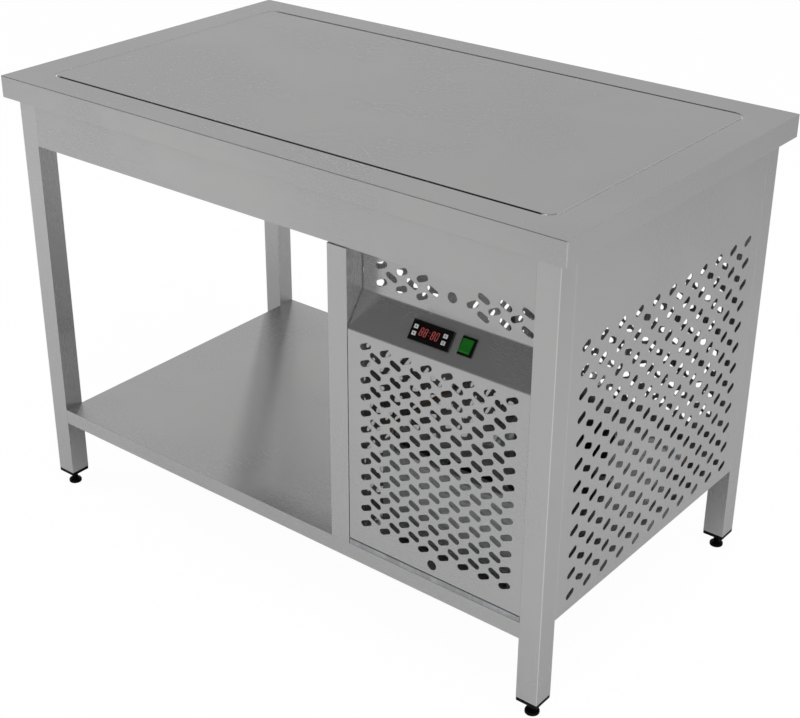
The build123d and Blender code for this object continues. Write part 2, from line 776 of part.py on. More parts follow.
pieces = {
    "worktop": make_worktop(),
    "cold_plate": make_cold_plate(),
    "plate_seal": make_plate_seal(),
    "evaporator_coil": make_evaporator_coil(),
    "plate_probe": make_plate_probe(),
    "insulation_slab": make_insulation_slab(),
    "insulation_pan": make_insulation_pan(),
    "front_apron": make_front_apron(),
    "rear_apron": make_rear_apron(),
    "left_apron": make_left_apron(),
    "right_rail": make_right_rail(),
    "shelf": make_shelf(),
    "shelf_stiffener": make_shelf_stiffener(),
    "unit_tray": make_unit_tray(),
    "partition": make_partition(),
    "side_panel": make_side_panel(),
    "rear_panel": make_rear_panel(),
    "front_panel": make_front_panel(),
    "controller_housing": make_controller_housing(),
    "display_window": make_display_window(),
    "switch_housing": make_switch_housing(),
    "rocker": make_rocker(),
    "condenser_tubes": make_condenser_tubes(),
    "condenser_fins": make_condenser_fins(),
    "fan_shroud": make_fan_shroud(),
    "fan_bar": make_fan_bar(),
    "fan_motor": make_fan_motor(),
    "fan_rotor": make_fan_rotor(),
    "fan_shaft": make_fan_shaft(),
    "compressor": make_compressor(),
    "terminal_cover": make_terminal_cover(),
    "compressor_grommets": make_compressor_grommets(),
    "compressor_nuts": make_compressor_nuts(),
    "discharge_line": make_discharge_line(),
    "liquid_line": make_liquid_line(),
    "filter_drier": make_filter_drier(),
    "capillary_tube": make_capillary_tube(),
    "suction_line": make_suction_line(),
    "terminal_box": make_terminal_box(),
    "cord_gland": make_cord_gland(),
}
for number, (u, v) in enumerate(key_centres(), start=1):
    pieces[f"key_{number}"] = make_key(u, v)
for corner, sides in corners.items():
    pieces[f"leg_{corner}"] = make_leg(*sides)
    pieces[f"leg_insert_{corner}"] = make_leg_insert(*sides)
    pieces[f"foot_{corner}"] = make_foot(*sides)

os.makedirs("parts", exist_ok=True)
for name, piece in pieces.items():
    export_step(piece, os.path.join("parts", name + ".step"))
print(len(pieces), "pieces written")
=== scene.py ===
import math

import bmesh
import bpy
from mathutils import Matrix, Vector


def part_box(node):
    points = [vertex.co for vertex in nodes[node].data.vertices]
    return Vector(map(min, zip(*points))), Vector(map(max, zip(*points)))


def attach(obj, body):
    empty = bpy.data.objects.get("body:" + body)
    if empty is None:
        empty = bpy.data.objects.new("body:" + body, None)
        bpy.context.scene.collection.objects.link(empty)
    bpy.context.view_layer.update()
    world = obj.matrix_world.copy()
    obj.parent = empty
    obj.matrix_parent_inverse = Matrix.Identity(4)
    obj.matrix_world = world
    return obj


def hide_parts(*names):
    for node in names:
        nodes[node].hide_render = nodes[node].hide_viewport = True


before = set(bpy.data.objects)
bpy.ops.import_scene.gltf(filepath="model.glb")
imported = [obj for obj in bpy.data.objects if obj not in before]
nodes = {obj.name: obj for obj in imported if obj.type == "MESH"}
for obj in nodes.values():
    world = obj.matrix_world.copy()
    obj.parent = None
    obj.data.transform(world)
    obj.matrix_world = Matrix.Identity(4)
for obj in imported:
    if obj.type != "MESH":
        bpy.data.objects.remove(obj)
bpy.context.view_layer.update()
corners = ("front_left", "front_right", "rear_left", "rear_right")
print("frame loaded,", len(nodes), "nodes")


# shader groups shared by several finishes

def addNode(tree, kind, sockets=None, **settings):
    node = tree.nodes.new(kind)
    for name, value in settings.items():
        setattr(node, name, value)
    for name, value in (sockets or {}).items():
        node.inputs[name].default_value = value
    return node


def wire(tree, *links):
    for source, output, target, socket in links:
        tree.links.new(source.outputs[output], target.inputs[socket])


def makeNoiseGroup(name, result, noiseLook, reach, blend="LINEAR"):
    # noise whose middle reach is spread from nought to one
    group = bpy.data.node_groups.new(name, "ShaderNodeTree")
    for label, kind in (("Vector", "NodeSocketVector"), ("Scale", "NodeSocketFloat")):
        group.interface.new_socket(label, in_out="INPUT", socket_type=kind)
    group.interface.new_socket(result, in_out="OUTPUT", socket_type="NodeSocketFloat")
    start = group.nodes.new("NodeGroupInput")
    end = group.nodes.new("NodeGroupOutput")
    noise = addNode(group, "ShaderNodeTexNoise", noiseLook)
    spread = addNode(group, "ShaderNodeMapRange", {"From Min": reach[0], "From Max": reach[1]},
                     interpolation_type=blend)
    wire(group, (start, "Vector", noise, "Vector"), (start, "Scale", noise, "Scale"),
         (noise, "Fac", spread, "Value"), (spread, "Result", end, result))
    return group


# fine tooth of a brushed, moulded or painted surface
grainGroup = makeNoiseGroup("fineGrain", "Grain", {"Detail": 3.0, "Roughness": 0.6}, (0.3, 0.7))
# broad uneven patches, as wiping and handling leave
marksGroup = makeNoiseGroup("handlingMarks", "Marks", {"Detail": 4.0, "Roughness": 0.55, "Distortion": 0.6},
                            (0.35, 0.65), "SMOOTHSTEP")


def makeFinish(name, look):
    material = bpy.data.materials.new(name)
    material.use_nodes = True
    tree = material.node_tree
    shader = tree.nodes["Principled BSDF"]
    plain = {"Metallic": look.get("metallic", 0.0), "Specular IOR Level": look.get("specular", 0.5),
             "Coat Weight": look.get("coat", 0.0), "Coat Roughness": 0.1}
    if "glow" in look:
        plain["Emission Color"] = (*look["glow"], 1.0)
        plain["Emission Strength"] = look["glowStrength"]
    if "across" in look:
        plain["Anisotropic"] = look["spread"]
        across = addNode(tree, "ShaderNodeCombineXYZ", dict(zip("XYZ", look["across"])))
        wire(tree, (across, "Vector", shader, "Tangent"))
    for label, value in plain.items():
        shader.inputs[label].default_value = value
    place = addNode(tree, "ShaderNodeTexCoord")
    stretch = addNode(tree, "ShaderNodeMapping", {"Scale": look.get("stretch", (1.0, 1.0, 1.0))})
    grain = addNode(tree, "ShaderNodeGroup", {"Scale": look["grain"]}, node_tree=grainGroup)
    marks = addNode(tree, "ShaderNodeGroup", {"Scale": look["marks"]}, node_tree=marksGroup)
    colour = addNode(tree, "ShaderNodeMix", {"A": (*look["colour"], 1.0), "B": (*look["markColour"], 1.0)},
                     data_type="RGBA")
    wire(tree, (place, "Object", stretch, "Vector"), (stretch, "Vector", grain, "Vector"),
         (place, "Object", marks, "Vector"), (marks, "Marks", colour, "Factor"))
    # each tint paints a highlight or a shade on the faces marked for it
    for label, tint in look.get("paintedLightTints", {}).items():        # on the faces that carry this attribute
        marked = addNode(tree, "ShaderNodeAttribute", attribute_name=label)
        tinted = addNode(tree, "ShaderNodeMix", {"B": (*tint, 1.0)}, data_type="RGBA")
        wire(tree, (marked, "Fac", tinted, "Factor"), (colour, "Result", tinted, "A"))
        colour = tinted
    both = addNode(tree, "ShaderNodeMath", operation="ADD")
    least, most = look["rough"]
    rough = addNode(tree, "ShaderNodeMapRange", {"From Max": 2.0, "To Min": least, "To Max": most})
    depth = look.get("bumpDepth", 0.0001)
    bump = addNode(tree, "ShaderNodeBump", {"Strength": look["bump"], "Distance": depth})
    wire(tree, (colour, "Result", shader, "Base Color"), (grain, "Grain", both, 0), (marks, "Marks", both, 1),
         (both, "Value", rough, "Value"), (rough, "Result", shader, "Roughness"),
         (grain, "Grain", bump, "Height"), (bump, "Normal", shader, "Normal"))
    return material


# the steel's tints are painted light: a pale tint paints a highlight on rounded edges, and a near-black one
# paints shade on the front and rear bends
steelLook = {"metallic": 0.87, "colour": (0.58, 0.58, 0.577), "markColour": (0.568, 0.569, 0.568),
             "rough": (0.23, 0.29), "grain": 6.0, "marks": 3.5, "bump": 0.006, "bumpDepth": 0.0002,
             "spread": 0.85, "paintedLightTints": {"paintedEdgeHighlight": (0.86, 0.86, 0.855), "paintedBendShade": (0.075, 0.075, 0.075)}}
looks = {       # steel is brushed along one axis
    "steelAlong": {**steelLook, "stretch": (6.0, 260.0, 260.0), "across": (0.0, 1.0, 1.0)},   # along X
    "steelDeep": {**steelLook, "stretch": (260.0, 6.0, 260.0), "across": (1.0, 0.0, 1.0)},    # along Y
    "steelUp": {**steelLook, "stretch": (260.0, 260.0, 6.0), "across": (1.0, 1.0, 0.0)},      # along Z
    "galvanised": {
        "metallic": 0.8, "colour": (0.56, 0.57, 0.58), "markColour": (0.44, 0.45, 0.46),
        "rough": (0.38, 0.58), "grain": 90.0, "marks": 45.0, "bump": 0.05, "bumpDepth": 0.0002},
    "blackPlastic": {
        "colour": (0.0024, 0.0024, 0.0026), "markColour": (0.004, 0.004, 0.0042), "rough": (0.36, 0.52),
        "specular": 0.1, "grain": 1800.0, "marks": 30.0, "bump": 0.15},
    "sealRubber": {
        "colour": (0.36, 0.36, 0.36), "markColour": (0.31, 0.31, 0.31), "rough": (0.25, 0.4),
        "grain": 700.0, "marks": 12.0, "bump": 0.1},
    "displayGlass": {
        "colour": (0.006, 0.002, 0.002), "markColour": (0.010, 0.003, 0.003), "rough": (0.12, 0.2),
        "specular": 0.25, "grain": 500.0, "marks": 60.0, "bump": 0.01},
    "figureRed": {
        "colour": (0.25, 0.03, 0.03), "markColour": (0.20, 0.025, 0.025), "rough": (0.4, 0.5),
        "grain": 900.0, "marks": 200.0, "bump": 0.02, "glow": (1.0, 0.22, 0.20), "glowStrength": 0.40},
    "keyPale": {
        "colour": (0.86, 0.86, 0.85), "markColour": (0.78, 0.78, 0.77), "rough": (0.4, 0.55),
        "grain": 1500.0, "marks": 150.0, "bump": 0.08},
    "keyInk": {
        "colour": (0.07, 0.07, 0.075), "markColour": (0.10, 0.10, 0.105), "rough": (0.5, 0.65),
        "grain": 1500.0, "marks": 200.0, "bump": 0.05},
    "rockerGreen": {
        "colour": (0.004, 0.19, 0.006), "markColour": (0.003, 0.155, 0.005), "rough": (0.26, 0.38),
        "specular": 0.3, "grain": 1200.0, "marks": 90.0, "bump": 0.04},
    "copper": {
        "metallic": 0.9, "colour": (0.34, 0.25, 0.19), "markColour": (0.22, 0.165, 0.13),
        "rough": (0.3, 0.55), "grain": 240.0, "marks": 22.0, "bump": 0.05, "bumpDepth": 0.0002},
    "aluminium": {
        "metallic": 0.7, "colour": (0.66, 0.67, 0.68), "markColour": (0.55, 0.56, 0.57),
        "rough": (0.38, 0.58), "stretch": (640.0, 40.0, 40.0), "grain": 2.0, "marks": 16.0,
        "bump": 0.6, "bumpDepth": 0.0006},
    "canBlack": {
        "colour": (0.036, 0.036, 0.037), "markColour": (0.052, 0.052, 0.053), "rough": (0.25, 0.45),
        "grain": 160.0, "marks": 14.0, "bump": 0.15, "bumpDepth": 0.0004, "coat": 0.25},
    "softRubber": {
        "colour": (0.020, 0.020, 0.020), "markColour": (0.034, 0.034, 0.034), "rough": (0.6, 0.8),
        "grain": 600.0, "marks": 40.0, "bump": 0.1},
    "boxGrey": {
        "colour": (0.40, 0.41, 0.41), "markColour": (0.34, 0.35, 0.35), "rough": (0.45, 0.6),
        "grain": 1400.0, "marks": 18.0, "bump": 0.12},
    "foam": {
        "colour": (0.66, 0.58, 0.36), "markColour": (0.56, 0.48, 0.29), "rough": (0.7, 0.9),
        "grain": 420.0, "marks": 9.0, "bump": 0.5, "bumpDepth": 0.0006},
}
finishes = {name: makeFinish(name, look) for name, look in looks.items()}
print(len(finishes), "finishes made")

# nodes whose own solids are shown
nodeFinishes = {
    "steelAlong": ["front_apron", "rear_apron"],
    "steelDeep": ["left_apron", "right_rail"],
    "galvanised": ["insulation_pan", "shelf_stiffener", "fan_bar", "compressor_nuts", "fan_shaft",
                   "plate_probe"],
    "blackPlastic": ["controller_housing", "switch_housing"],
    "displayGlass": ["display_window"],
    "keyPale": ["key_1", "key_2", "key_3", "key_4"],
    "rockerGreen": ["rocker"],
    "copper": ["evaporator_coil"],
    "aluminium": ["condenser_tubes", "condenser_fins"],
    "foam": ["insulation_slab"],
}
for finish, names in nodeFinishes.items():
    for name in names:
        nodes[name].data.materials.clear()
        nodes[name].data.materials.append(finishes[finish])


# tools for new pieces

mergeReach = 1e-6
facets = {"bend": 4, "slot": 4, "hole": 28, "pipe": 14, "elbow": 6}       # steps round each kind of curve


def addPiece(bm, name, finish, replaced=None, place=None, smooth=0.0, body="table"):
    if place is not None:
        bmesh.ops.transform(bm, verts=bm.verts[:], matrix=place)
    bmesh.ops.remove_doubles(bm, verts=bm.verts[:], dist=mergeReach)
    bmesh.ops.recalc_face_normals(bm, faces=bm.faces[:])
    mesh = bpy.data.meshes.new(name)
    bm.to_mesh(mesh)
    bm.free()
    if smooth:
        mesh.shade_smooth()
        mesh.set_sharp_from_angle(angle=math.radians(smooth))
    mesh.materials.append(finishes[finish])
    piece = bpy.data.objects.new(name, mesh)
    bpy.context.scene.collection.objects.link(piece)
    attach(piece, body)
    if replaced:
        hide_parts(replaced)


def addMesh(bm, part, matrix):
    # joins a part made apart to the piece, in its place
    bmesh.ops.transform(part, verts=part.verts[:], matrix=matrix)
    mesh = bpy.data.meshes.new("part")
    part.to_mesh(mesh)
    part.free()
    bm.from_mesh(mesh)
    bpy.data.meshes.remove(mesh)


def addPlate(bm, low, high):
    made = bmesh.ops.create_cube(bm, size=1.0)["verts"]
    bmesh.ops.scale(bm, verts=made, vec=Vector(high) - Vector(low))
    bmesh.ops.translate(bm, verts=made, vec=(Vector(low) + Vector(high)) / 2)


def edgesAmong(bm, verts):
    inside = set(verts)
    return [e for e in bm.edges if e.verts[0] in inside and e.verts[1] in inside]


def drawOut(bm, edges, vec):
    # extrudes the edges by vec and gives back the new verts
    drawn = bmesh.ops.extrude_edge_only(bm, edges=edges)["geom"]
    fresh = [v for v in drawn if isinstance(v, bmesh.types.BMVert)]
    bmesh.ops.translate(bm, verts=fresh, vec=vec)
    return fresh


def roundCorners(bm, verts, radius, steps):
    bmesh.ops.bevel(bm, geom=verts, offset=radius, offset_type="OFFSET", segments=steps, profile=0.5,
                    affect="VERTICES", material=-1)


fullRound = 0.4995      # share of a width at which two corners nearly meet


def addOutline(bm, length, width, corner, steps, matrix):
    # closed loop of edges round a rectangle, with rounded corners where corner isn't nothing
    made = bmesh.ops.create_grid(bm, x_segments=1, y_segments=1, size=0.5)["verts"]
    bmesh.ops.scale(bm, verts=made, vec=(length, width, 1.0))
    if corner:
        others = set(bm.verts) - set(made)
        roundCorners(bm, made, min(corner, fullRound * min(length, width)), steps)
        made = [v for v in bm.verts if v not in others]
    bmesh.ops.delete(bm, geom=list({f for v in made for f in v.link_faces}), context="FACES_ONLY")
    bmesh.ops.transform(bm, verts=made, matrix=matrix)
    return edgesAmong(bm, made)


def addRoundHole(bm, radius, matrix):
    made = bmesh.ops.create_circle(bm, segments=facets["hole"], radius=radius)["verts"]
    bmesh.ops.transform(bm, verts=made, matrix=matrix)
    return edgesAmong(bm, made)


leastCorner = 0.0002


def drawnIn(ring, edge):
    # a ring's length, width and corner, smaller by edge all round
    length, width, corner = ring[:3]
    return length - 2 * edge, width - 2 * edge, max(corner - edge, leastCorner)


def bendIn(ring, edge, rise):
    # rings round a quarter bend, from an upright wall to a level one drawn in by edge and raised by rise
    last = (*drawnIn(ring, edge), ring[3] + rise)
    rings = []
    for k in range(facets["bend"] + 1):
        turn = math.pi / 2 * k / facets["bend"]
        level, up = 1.0 - math.cos(turn), math.sin(turn)
        shares = (level, level, level, up)
        rings.append(tuple(a + (b - a) * share for a, b, share in zip(ring, last, shares)))
    return rings


def bendOut(ring, edge, rise):
    # the same bend, from the level end to the upright one
    return bendIn(ring, edge, rise)[::-1]


def bridgeRings(bm, rings, steps):
    # each ring is (length, width, corner, height)
    loops = [addOutline(bm, *ring[:3], steps, Matrix.Translation((0.0, 0.0, ring[3]))) for ring in rings]
    for one, two in zip(loops, loops[1:]):
        if abs(one[0].verts[0].co.z - two[0].verts[0].co.z) < mergeReach:
            bmesh.ops.triangle_fill(bm, use_beauty=True, use_dissolve=False, edges=one + two)
        else:
            bmesh.ops.bridge_loops(bm, edges=one + two)
    return loops


def closedBody(rings, steps):
    # a body through the rings, capped at both ends
    bm = bmesh.new()
    loops = bridgeRings(bm, rings, steps)
    for loop in (loops[0], loops[-1]):
        bmesh.ops.contextual_create(bm, geom=loop)
    return bm


def thicken(bm, sheet, outward=False):
    # outward, the outermost face along X shows which side of the sheet is the outer one
    bmesh.ops.recalc_face_normals(bm, faces=bm.faces[:])
    if outward and max(bm.faces, key=lambda f: f.calc_center_median().x).normal.x < 0.0:
        bmesh.ops.reverse_faces(bm, faces=bm.faces[:])
    bmesh.ops.solidify(bm, geom=bm.faces[:], thickness=sheet)


def drawLine(bm, points, radii, steps):
    # open line through the points, its inner corners rounded
    line = [bm.verts.new(point) for point in points]
    for pair in zip(line, line[1:]):
        bm.edges.new(pair)
    for corner, radius in zip(line[1:-1], radii):
        if radius:
            roundCorners(bm, [corner], radius, steps)


def turned(points, radii, steps=40, cornerSteps=5):
    # a line of (radius, height), turned round the upright axis
    bm = bmesh.new()
    drawLine(bm, [(radius, 0.0, height) for radius, height in points], radii, cornerSteps)
    bmesh.ops.spin(bm, geom=bm.verts[:] + bm.edges[:], cent=(0, 0, 0), axis=(0, 0, 1), angle=2 * math.pi,
                   steps=steps, use_merge=True)
    bmesh.ops.remove_doubles(bm, verts=bm.verts[:], dist=mergeReach)
    return bm


def foldSheet(bm, profile, span, bend, thickness, toFrame, holes):
    # profile runs in the plane (a, b) and is drawn out along u over span
    # holes maps a run of the profile to its cut-outs
    sheet = bmesh.new()
    drawLine(sheet, [(span[0], a, b) for a, b in profile], [bend] * (len(profile) - 2), facets["bend"])
    drawOut(sheet, sheet.edges[:], (span[1] - span[0], 0.0, 0.0))
    for run, cuts in holes.items():
        start, stop = Vector((0.0, *profile[run])), Vector((0.0, *profile[run + 1]))
        along = (stop - start).normalized()
        across = Vector((1.0, 0.0, 0.0))
        flat = Matrix((across, along, across.cross(along))).transposed().to_4x4()
        flat.translation = start
        middle = (start + stop) / 2 + across * (span[0] + span[1]) / 2
        face = min(sheet.faces, key=lambda f: (f.calc_center_median() - middle).length)
        rim = face.edges[:]
        for kind, size, u, v, turn in cuts:
            spot = flat @ Matrix.Translation((u, v, 0.0)) @ Matrix.Rotation(turn, 4, "Z")
            if kind == "round":
                rim += addRoundHole(sheet, size[0], spot)
            else:
                rim += addOutline(sheet, *size, size[1] / 2 if kind == "slot" else 0.0, facets["slot"], spot)
        bmesh.ops.delete(sheet, geom=[face], context="FACES_ONLY")
        bmesh.ops.triangle_fill(sheet, use_beauty=True, use_dissolve=False, edges=rim)
    thicken(sheet, thickness)
    addMesh(bm, sheet, toFrame)


alongX = Matrix.Identity(4)                                                 # u is X, a is Y, b is Z
alongY = Matrix(((0, 1, 0, 0), (1, 0, 0, 0), (0, 0, 1, 0), (0, 0, 0, 1)))   # u is Y, a is X, b is Z
alongZ = Matrix(((0, 1, 0, 0), (0, 0, 1, 0), (1, 0, 0, 0), (0, 0, 0, 1)))   # u is Z, a is X, b is Y
facingFront = Matrix(((1, 0, 0, 0), (0, 0, -1, 0), (0, 1, 0, 0), (0, 0, 0, 1)))   # up is turned to the front

# faces for the painted highlight and shade on steel: how upright, turned or level a face is, and how squarely
# it looks to the front or to an end
paintedEdgeTests = {"upright": 0.1, "turned": 0.2, "level": 0.98, "toFront": 20.0, "toEnd": 3.0}


def markFaces(bm, label, share, test):
    # an attribute that the steel finishes read, on the faces whose normal passes the test
    bm.normal_update()
    layer = bm.faces.layers.float.get(label) or bm.faces.layers.float.new(label)
    for face in bm.faces:
        if test(face.normal):
            face[layer] = share


def onCorner(normal):
    # on the rounding between two upright faces
    return abs(normal.z) < paintedEdgeTests["upright"] and min(abs(normal.x), abs(normal.y)) > paintedEdgeTests["turned"]


def paintBendShadeAndHighlight(bm, p):
    # the bends at the front and rear get a painted shade, and those at the ends a painted highlight
    def onBend(normal):
        return p["steepest"] < normal.z < paintedEdgeTests["level"]

    markFaces(bm, "paintedBendShade", p["bendShadeShare"], lambda n: onBend(n) and abs(n.y) > paintedEdgeTests["toFront"] * abs(n.x))
    markFaces(bm, "paintedEdgeHighlight", p["edgeHighlightShare"], lambda n: onBend(n) and abs(n.x) > paintedEdgeTests["toEnd"] * abs(n.y))


# pressed sheets: worktop with its collared opening, cold plate, shelf and unit tray
# for the worktop and cold plate, two shares set the strength of the painted shade on the front and rear bends
# and of the painted highlight on the end bends and corners
worktop = {"length": 1.2, "width": 0.7, "corner": 0.0016, "centre": 0.0, "top": 0.85, "lip": 0.04,
           "hem": 0.012, "sheet": 0.0015, "bend": 0.001, "mouth": (1.071, 0.579, 0.022), "mouthEdge": 0.003,
           "collar": 0.0135, "finish": "steelAlong", "bendShadeShare": 0.5, "edgeHighlightShare": 0.5, "steepest": 0.15}
coldPlate = {"length": 1.067, "width": 0.575, "corner": 0.02, "centre": 0.0, "top": 0.85, "lip": 0.012,
             "hem": 0.0, "sheet": 0.002, "bend": 0.0032, "finish": "steelAlong", "bendShadeShare": 1.0, "edgeHighlightShare": 0.8,
             "steepest": -0.1}
shelf = {"length": 1.08, "width": 0.66, "corner": 0.0012, "centre": 0.0, "top": 0.18, "lip": 0.03,
         "hem": 0.012, "sheet": 0.0012, "bend": 0.0003, "finish": "steelAlong"}
unitTray = {"length": 0.348, "width": 0.66, "corner": 0.0012, "centre": 0.365, "top": 0.19, "lip": 0.01,
            "hem": 0.006, "sheet": 0.0012, "bend": 0.0011, "finish": "galvanised"}


def makePressedSheet(name, node, p):
    size = (p["length"], p["width"], p["corner"])
    top, bend = p["top"], p["bend"]
    foot = top - p["lip"]
    if p["hem"]:
        turnIn = 2 * (p["sheet"] + p["hem"])
        rings = bendOut((*size, foot + bend), bend, -bend)
        rings.insert(0, (p["length"] - turnIn, p["width"] - turnIn, drawnIn(size, bend)[2], foot))
    else:
        rings = [(*size, foot)]
    rings += bendIn((*size, top - bend), bend, bend)
    if "mouth" in p:
        edge = p["mouthEdge"]
        rings += bendOut((*p["mouth"], top - edge), -edge, edge)
        rings.append((*p["mouth"], top - p["collar"]))
    bm = bmesh.new()
    loops = bridgeRings(bm, rings, steps=10)
    if "mouth" not in p:
        bmesh.ops.contextual_create(bm, geom=loops[-1])
    thicken(bm, p["sheet"], outward=True)
    # paints shade on the front and rear bends, and a highlight on the end bends and the worktop's upright
    # corners
    if "bendShadeShare" in p:
        paintBendShadeAndHighlight(bm, p)
    if "mouth" in p:
        markFaces(bm, "paintedEdgeHighlight", p["edgeHighlightShare"], onCorner)
    addPiece(bm, name, p["finish"], node, Matrix.Translation((p["centre"], 0.0, 0.0)))


makePressedSheet("worktopSheet", "worktop", worktop)
makePressedSheet("coldPlateSheet", "cold_plate", coldPlate)
makePressedSheet("shelfSheet", "shelf", shelf)
makePressedSheet("unitTraySheet", "unit_tray", unitTray)

# seal: a bead with a shallow hollow, filling the joint round the plate up to a little under the sheets
seal = {"foot": 0.8365, "wall": 0.8468, "top": 0.8475, "spread": 0.0001, "hollow": 0.0003}


def makeSeal(p, plate, outer):
    inner = (plate["length"], plate["width"], plate["corner"])
    foot, wall, top, spread = p["foot"], p["wall"], p["top"], p["spread"]
    middle = tuple((a + b) / 2 for a, b in zip(inner, outer))
    rings = [(*inner, foot), (*inner, wall), (*drawnIn(inner, spread), top), (*middle, top - p["hollow"]),
             (*drawnIn(outer, -spread), top), (*outer, wall), (*outer, foot), (*inner, foot)]
    bm = bmesh.new()
    bridgeRings(bm, rings, steps=10)
    addPiece(bm, "sealBead", "sealRubber", "plate_seal", smooth=60.0)


makeSeal(seal, coldPlate, worktop["mouth"])
print("pressed sheets and seal made")

# legs: square tubes, rounded at the outermost edge, which gets a painted highlight, and the plastic inserts
# in their lower ends
leg = {"side": 0.040, "corner": 0.0014, "innerCorner": 0.0003, "edgeHighlightShare": 0.7, "wall": 0.0015, "foot": 0.034,
       "top": 0.8485}
insert = {"flange": 0.007, "edge": 0.0008, "plug": (0.0368, 0.0368, 0.001), "reach": 0.025, "bore": 0.01215}


def nodeCentre(node):
    low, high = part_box(node)
    return Vector(((low.x + high.x) / 2, (low.y + high.y) / 2, 0.0))


def makeLeg(corner, p):
    centre = nodeCentre("leg_" + corner)
    bm = bmesh.new()
    section = bmesh.ops.create_grid(bm, x_segments=1, y_segments=1, size=p["side"] / 2)["verts"]
    outermost = max(section, key=lambda v: v.co.dot(centre))
    roundCorners(bm, [v for v in section if v != outermost], p["innerCorner"], steps=3)
    roundCorners(bm, [outermost], p["corner"], steps=5)
    bmesh.ops.delete(bm, geom=bm.faces[:], context="FACES_ONLY")
    drawOut(bm, bm.edges[:], (0.0, 0.0, p["top"] - p["foot"]))
    thicken(bm, p["wall"], outward=True)
    # a highlight painted on the rounded outer edge
    markFaces(bm, "paintedEdgeHighlight", p["edgeHighlightShare"], onCorner)
    addPiece(bm, "legTube." + corner, "steelUp", "leg_" + corner,
             Matrix.Translation(centre + Vector((0.0, 0.0, p["foot"]))))


def makeInsert(corner, p, tube):
    base, edge = tube["foot"], p["edge"]
    low, high = base - p["flange"], base + p["reach"]
    outer = (tube["side"], tube["side"], tube["corner"])
    bore = (p["bore"], p["bore"], p["bore"] / 2)
    rings = [(*bore, high), (*bore, low), *bendOut((*outer, low + edge), edge, -edge), (*outer, base),
             (*p["plug"], base), (*p["plug"], high), (*bore, high)]
    bm = bmesh.new()
    bridgeRings(bm, rings, steps=5)
    addPiece(bm, "legInsert." + corner, "blackPlastic", "leg_insert_" + corner,
             Matrix.Translation(nodeCentre("leg_" + corner)))


for corner in corners:
    makeLeg(corner, leg)
    makeInsert(corner, insert, leg)

# screw-in feet: turned disc with a rounded rim and a crown, and a threaded stem
foot = {"rim": 0.0125, "rimEdge": 0.0026, "crown": 0.0065, "collar": 0.0080, "collarTop": 0.0085,
        "stem": 0.0059, "root": 0.0052, "pitch": 0.00175, "threads": 9, "top": 0.062}


def makeFoot(corner, p):
    rim, crown, collar, collarTop, pitch = p["rim"], p["crown"], p["collar"], p["collarTop"], p["pitch"]
    outline = [(0.0, 0.0), (rim, 0.0), (rim, crown), (collar, crown), (collar, collarTop),
               (p["root"], collarTop)]
    radii = [p["rimEdge"] / 2, p["rimEdge"], 0.0, p["rimEdge"] / 4, 0.0]
    for turn in range(p["threads"]):
        low = collarTop + turn * pitch
        outline += [(p["stem"], low + pitch / 2), (p["root"], low + pitch)]
        radii += [0.0, 0.0]
    last = collarTop + (p["threads"] + 0.5) * pitch
    outline += [(p["stem"], last), (p["stem"], p["top"]), (0.0, p["top"])]
    node = "foot_" + corner
    addPiece(turned(outline, radii + [0.0, 0.0]), "screwFoot." + corner, "blackPlastic",
             node, Matrix.Translation(nodeCentre(node)), smooth=35.0, body=node)


for corner in corners:
    makeFoot(corner, foot)
print("legs and feet made")


# perforated sheets

def interlacedSlots(grid, base=0.0):
    # rising slots on one grid and falling ones between them, at heights above base
    tilt = math.radians(grid["tilt"])
    stepU, stepV = grid["pitch"]
    cuts = []
    for i in range(grid["columns"]):
        for j in range(grid["rows"]):
            u = grid["start"][0] + i * stepU
            v = grid["start"][1] + j * stepV - base
            cuts.append(("slot", grid["slot"], u, v, tilt))
            if i < grid["columns"] - 1 and j < grid["rows"] - 1:
                cuts.append(("slot", grid["slot"], u + stepU / 2, v + stepV / 2, -tilt))
    return cuts


# front panel: lower grille, slanted console, upper grille
frontPanel = {"left": 0.192, "right": 0.53995, "face": -0.33, "recess": -0.29, "foot": 0.1915,
              "consoleFoot": 0.586, "consoleHead": 0.641, "top": 0.722, "flange": 0.012, "bend": 0.0015,
              "sheet": 0.001, "sideReturn": 0.015, "returnTop": 0.571, "finger": 0.009, "fingerLow": 0.212,
              "middle": 0.366, "upperCentre": 0.6767, "upperStep": 0.015, "upperColumns": 3,
              "controller": (0.343, 0.0, 0.071, 0.029), "switch": (0.410, 0.002, 0.0228, 0.0278)}
frontGrid = {"slot": (0.0235, 0.011), "pitch": (0.040, 0.030), "start": (0.2284, 0.236), "columns": 8,
             "rows": 12, "tilt": 25.0}


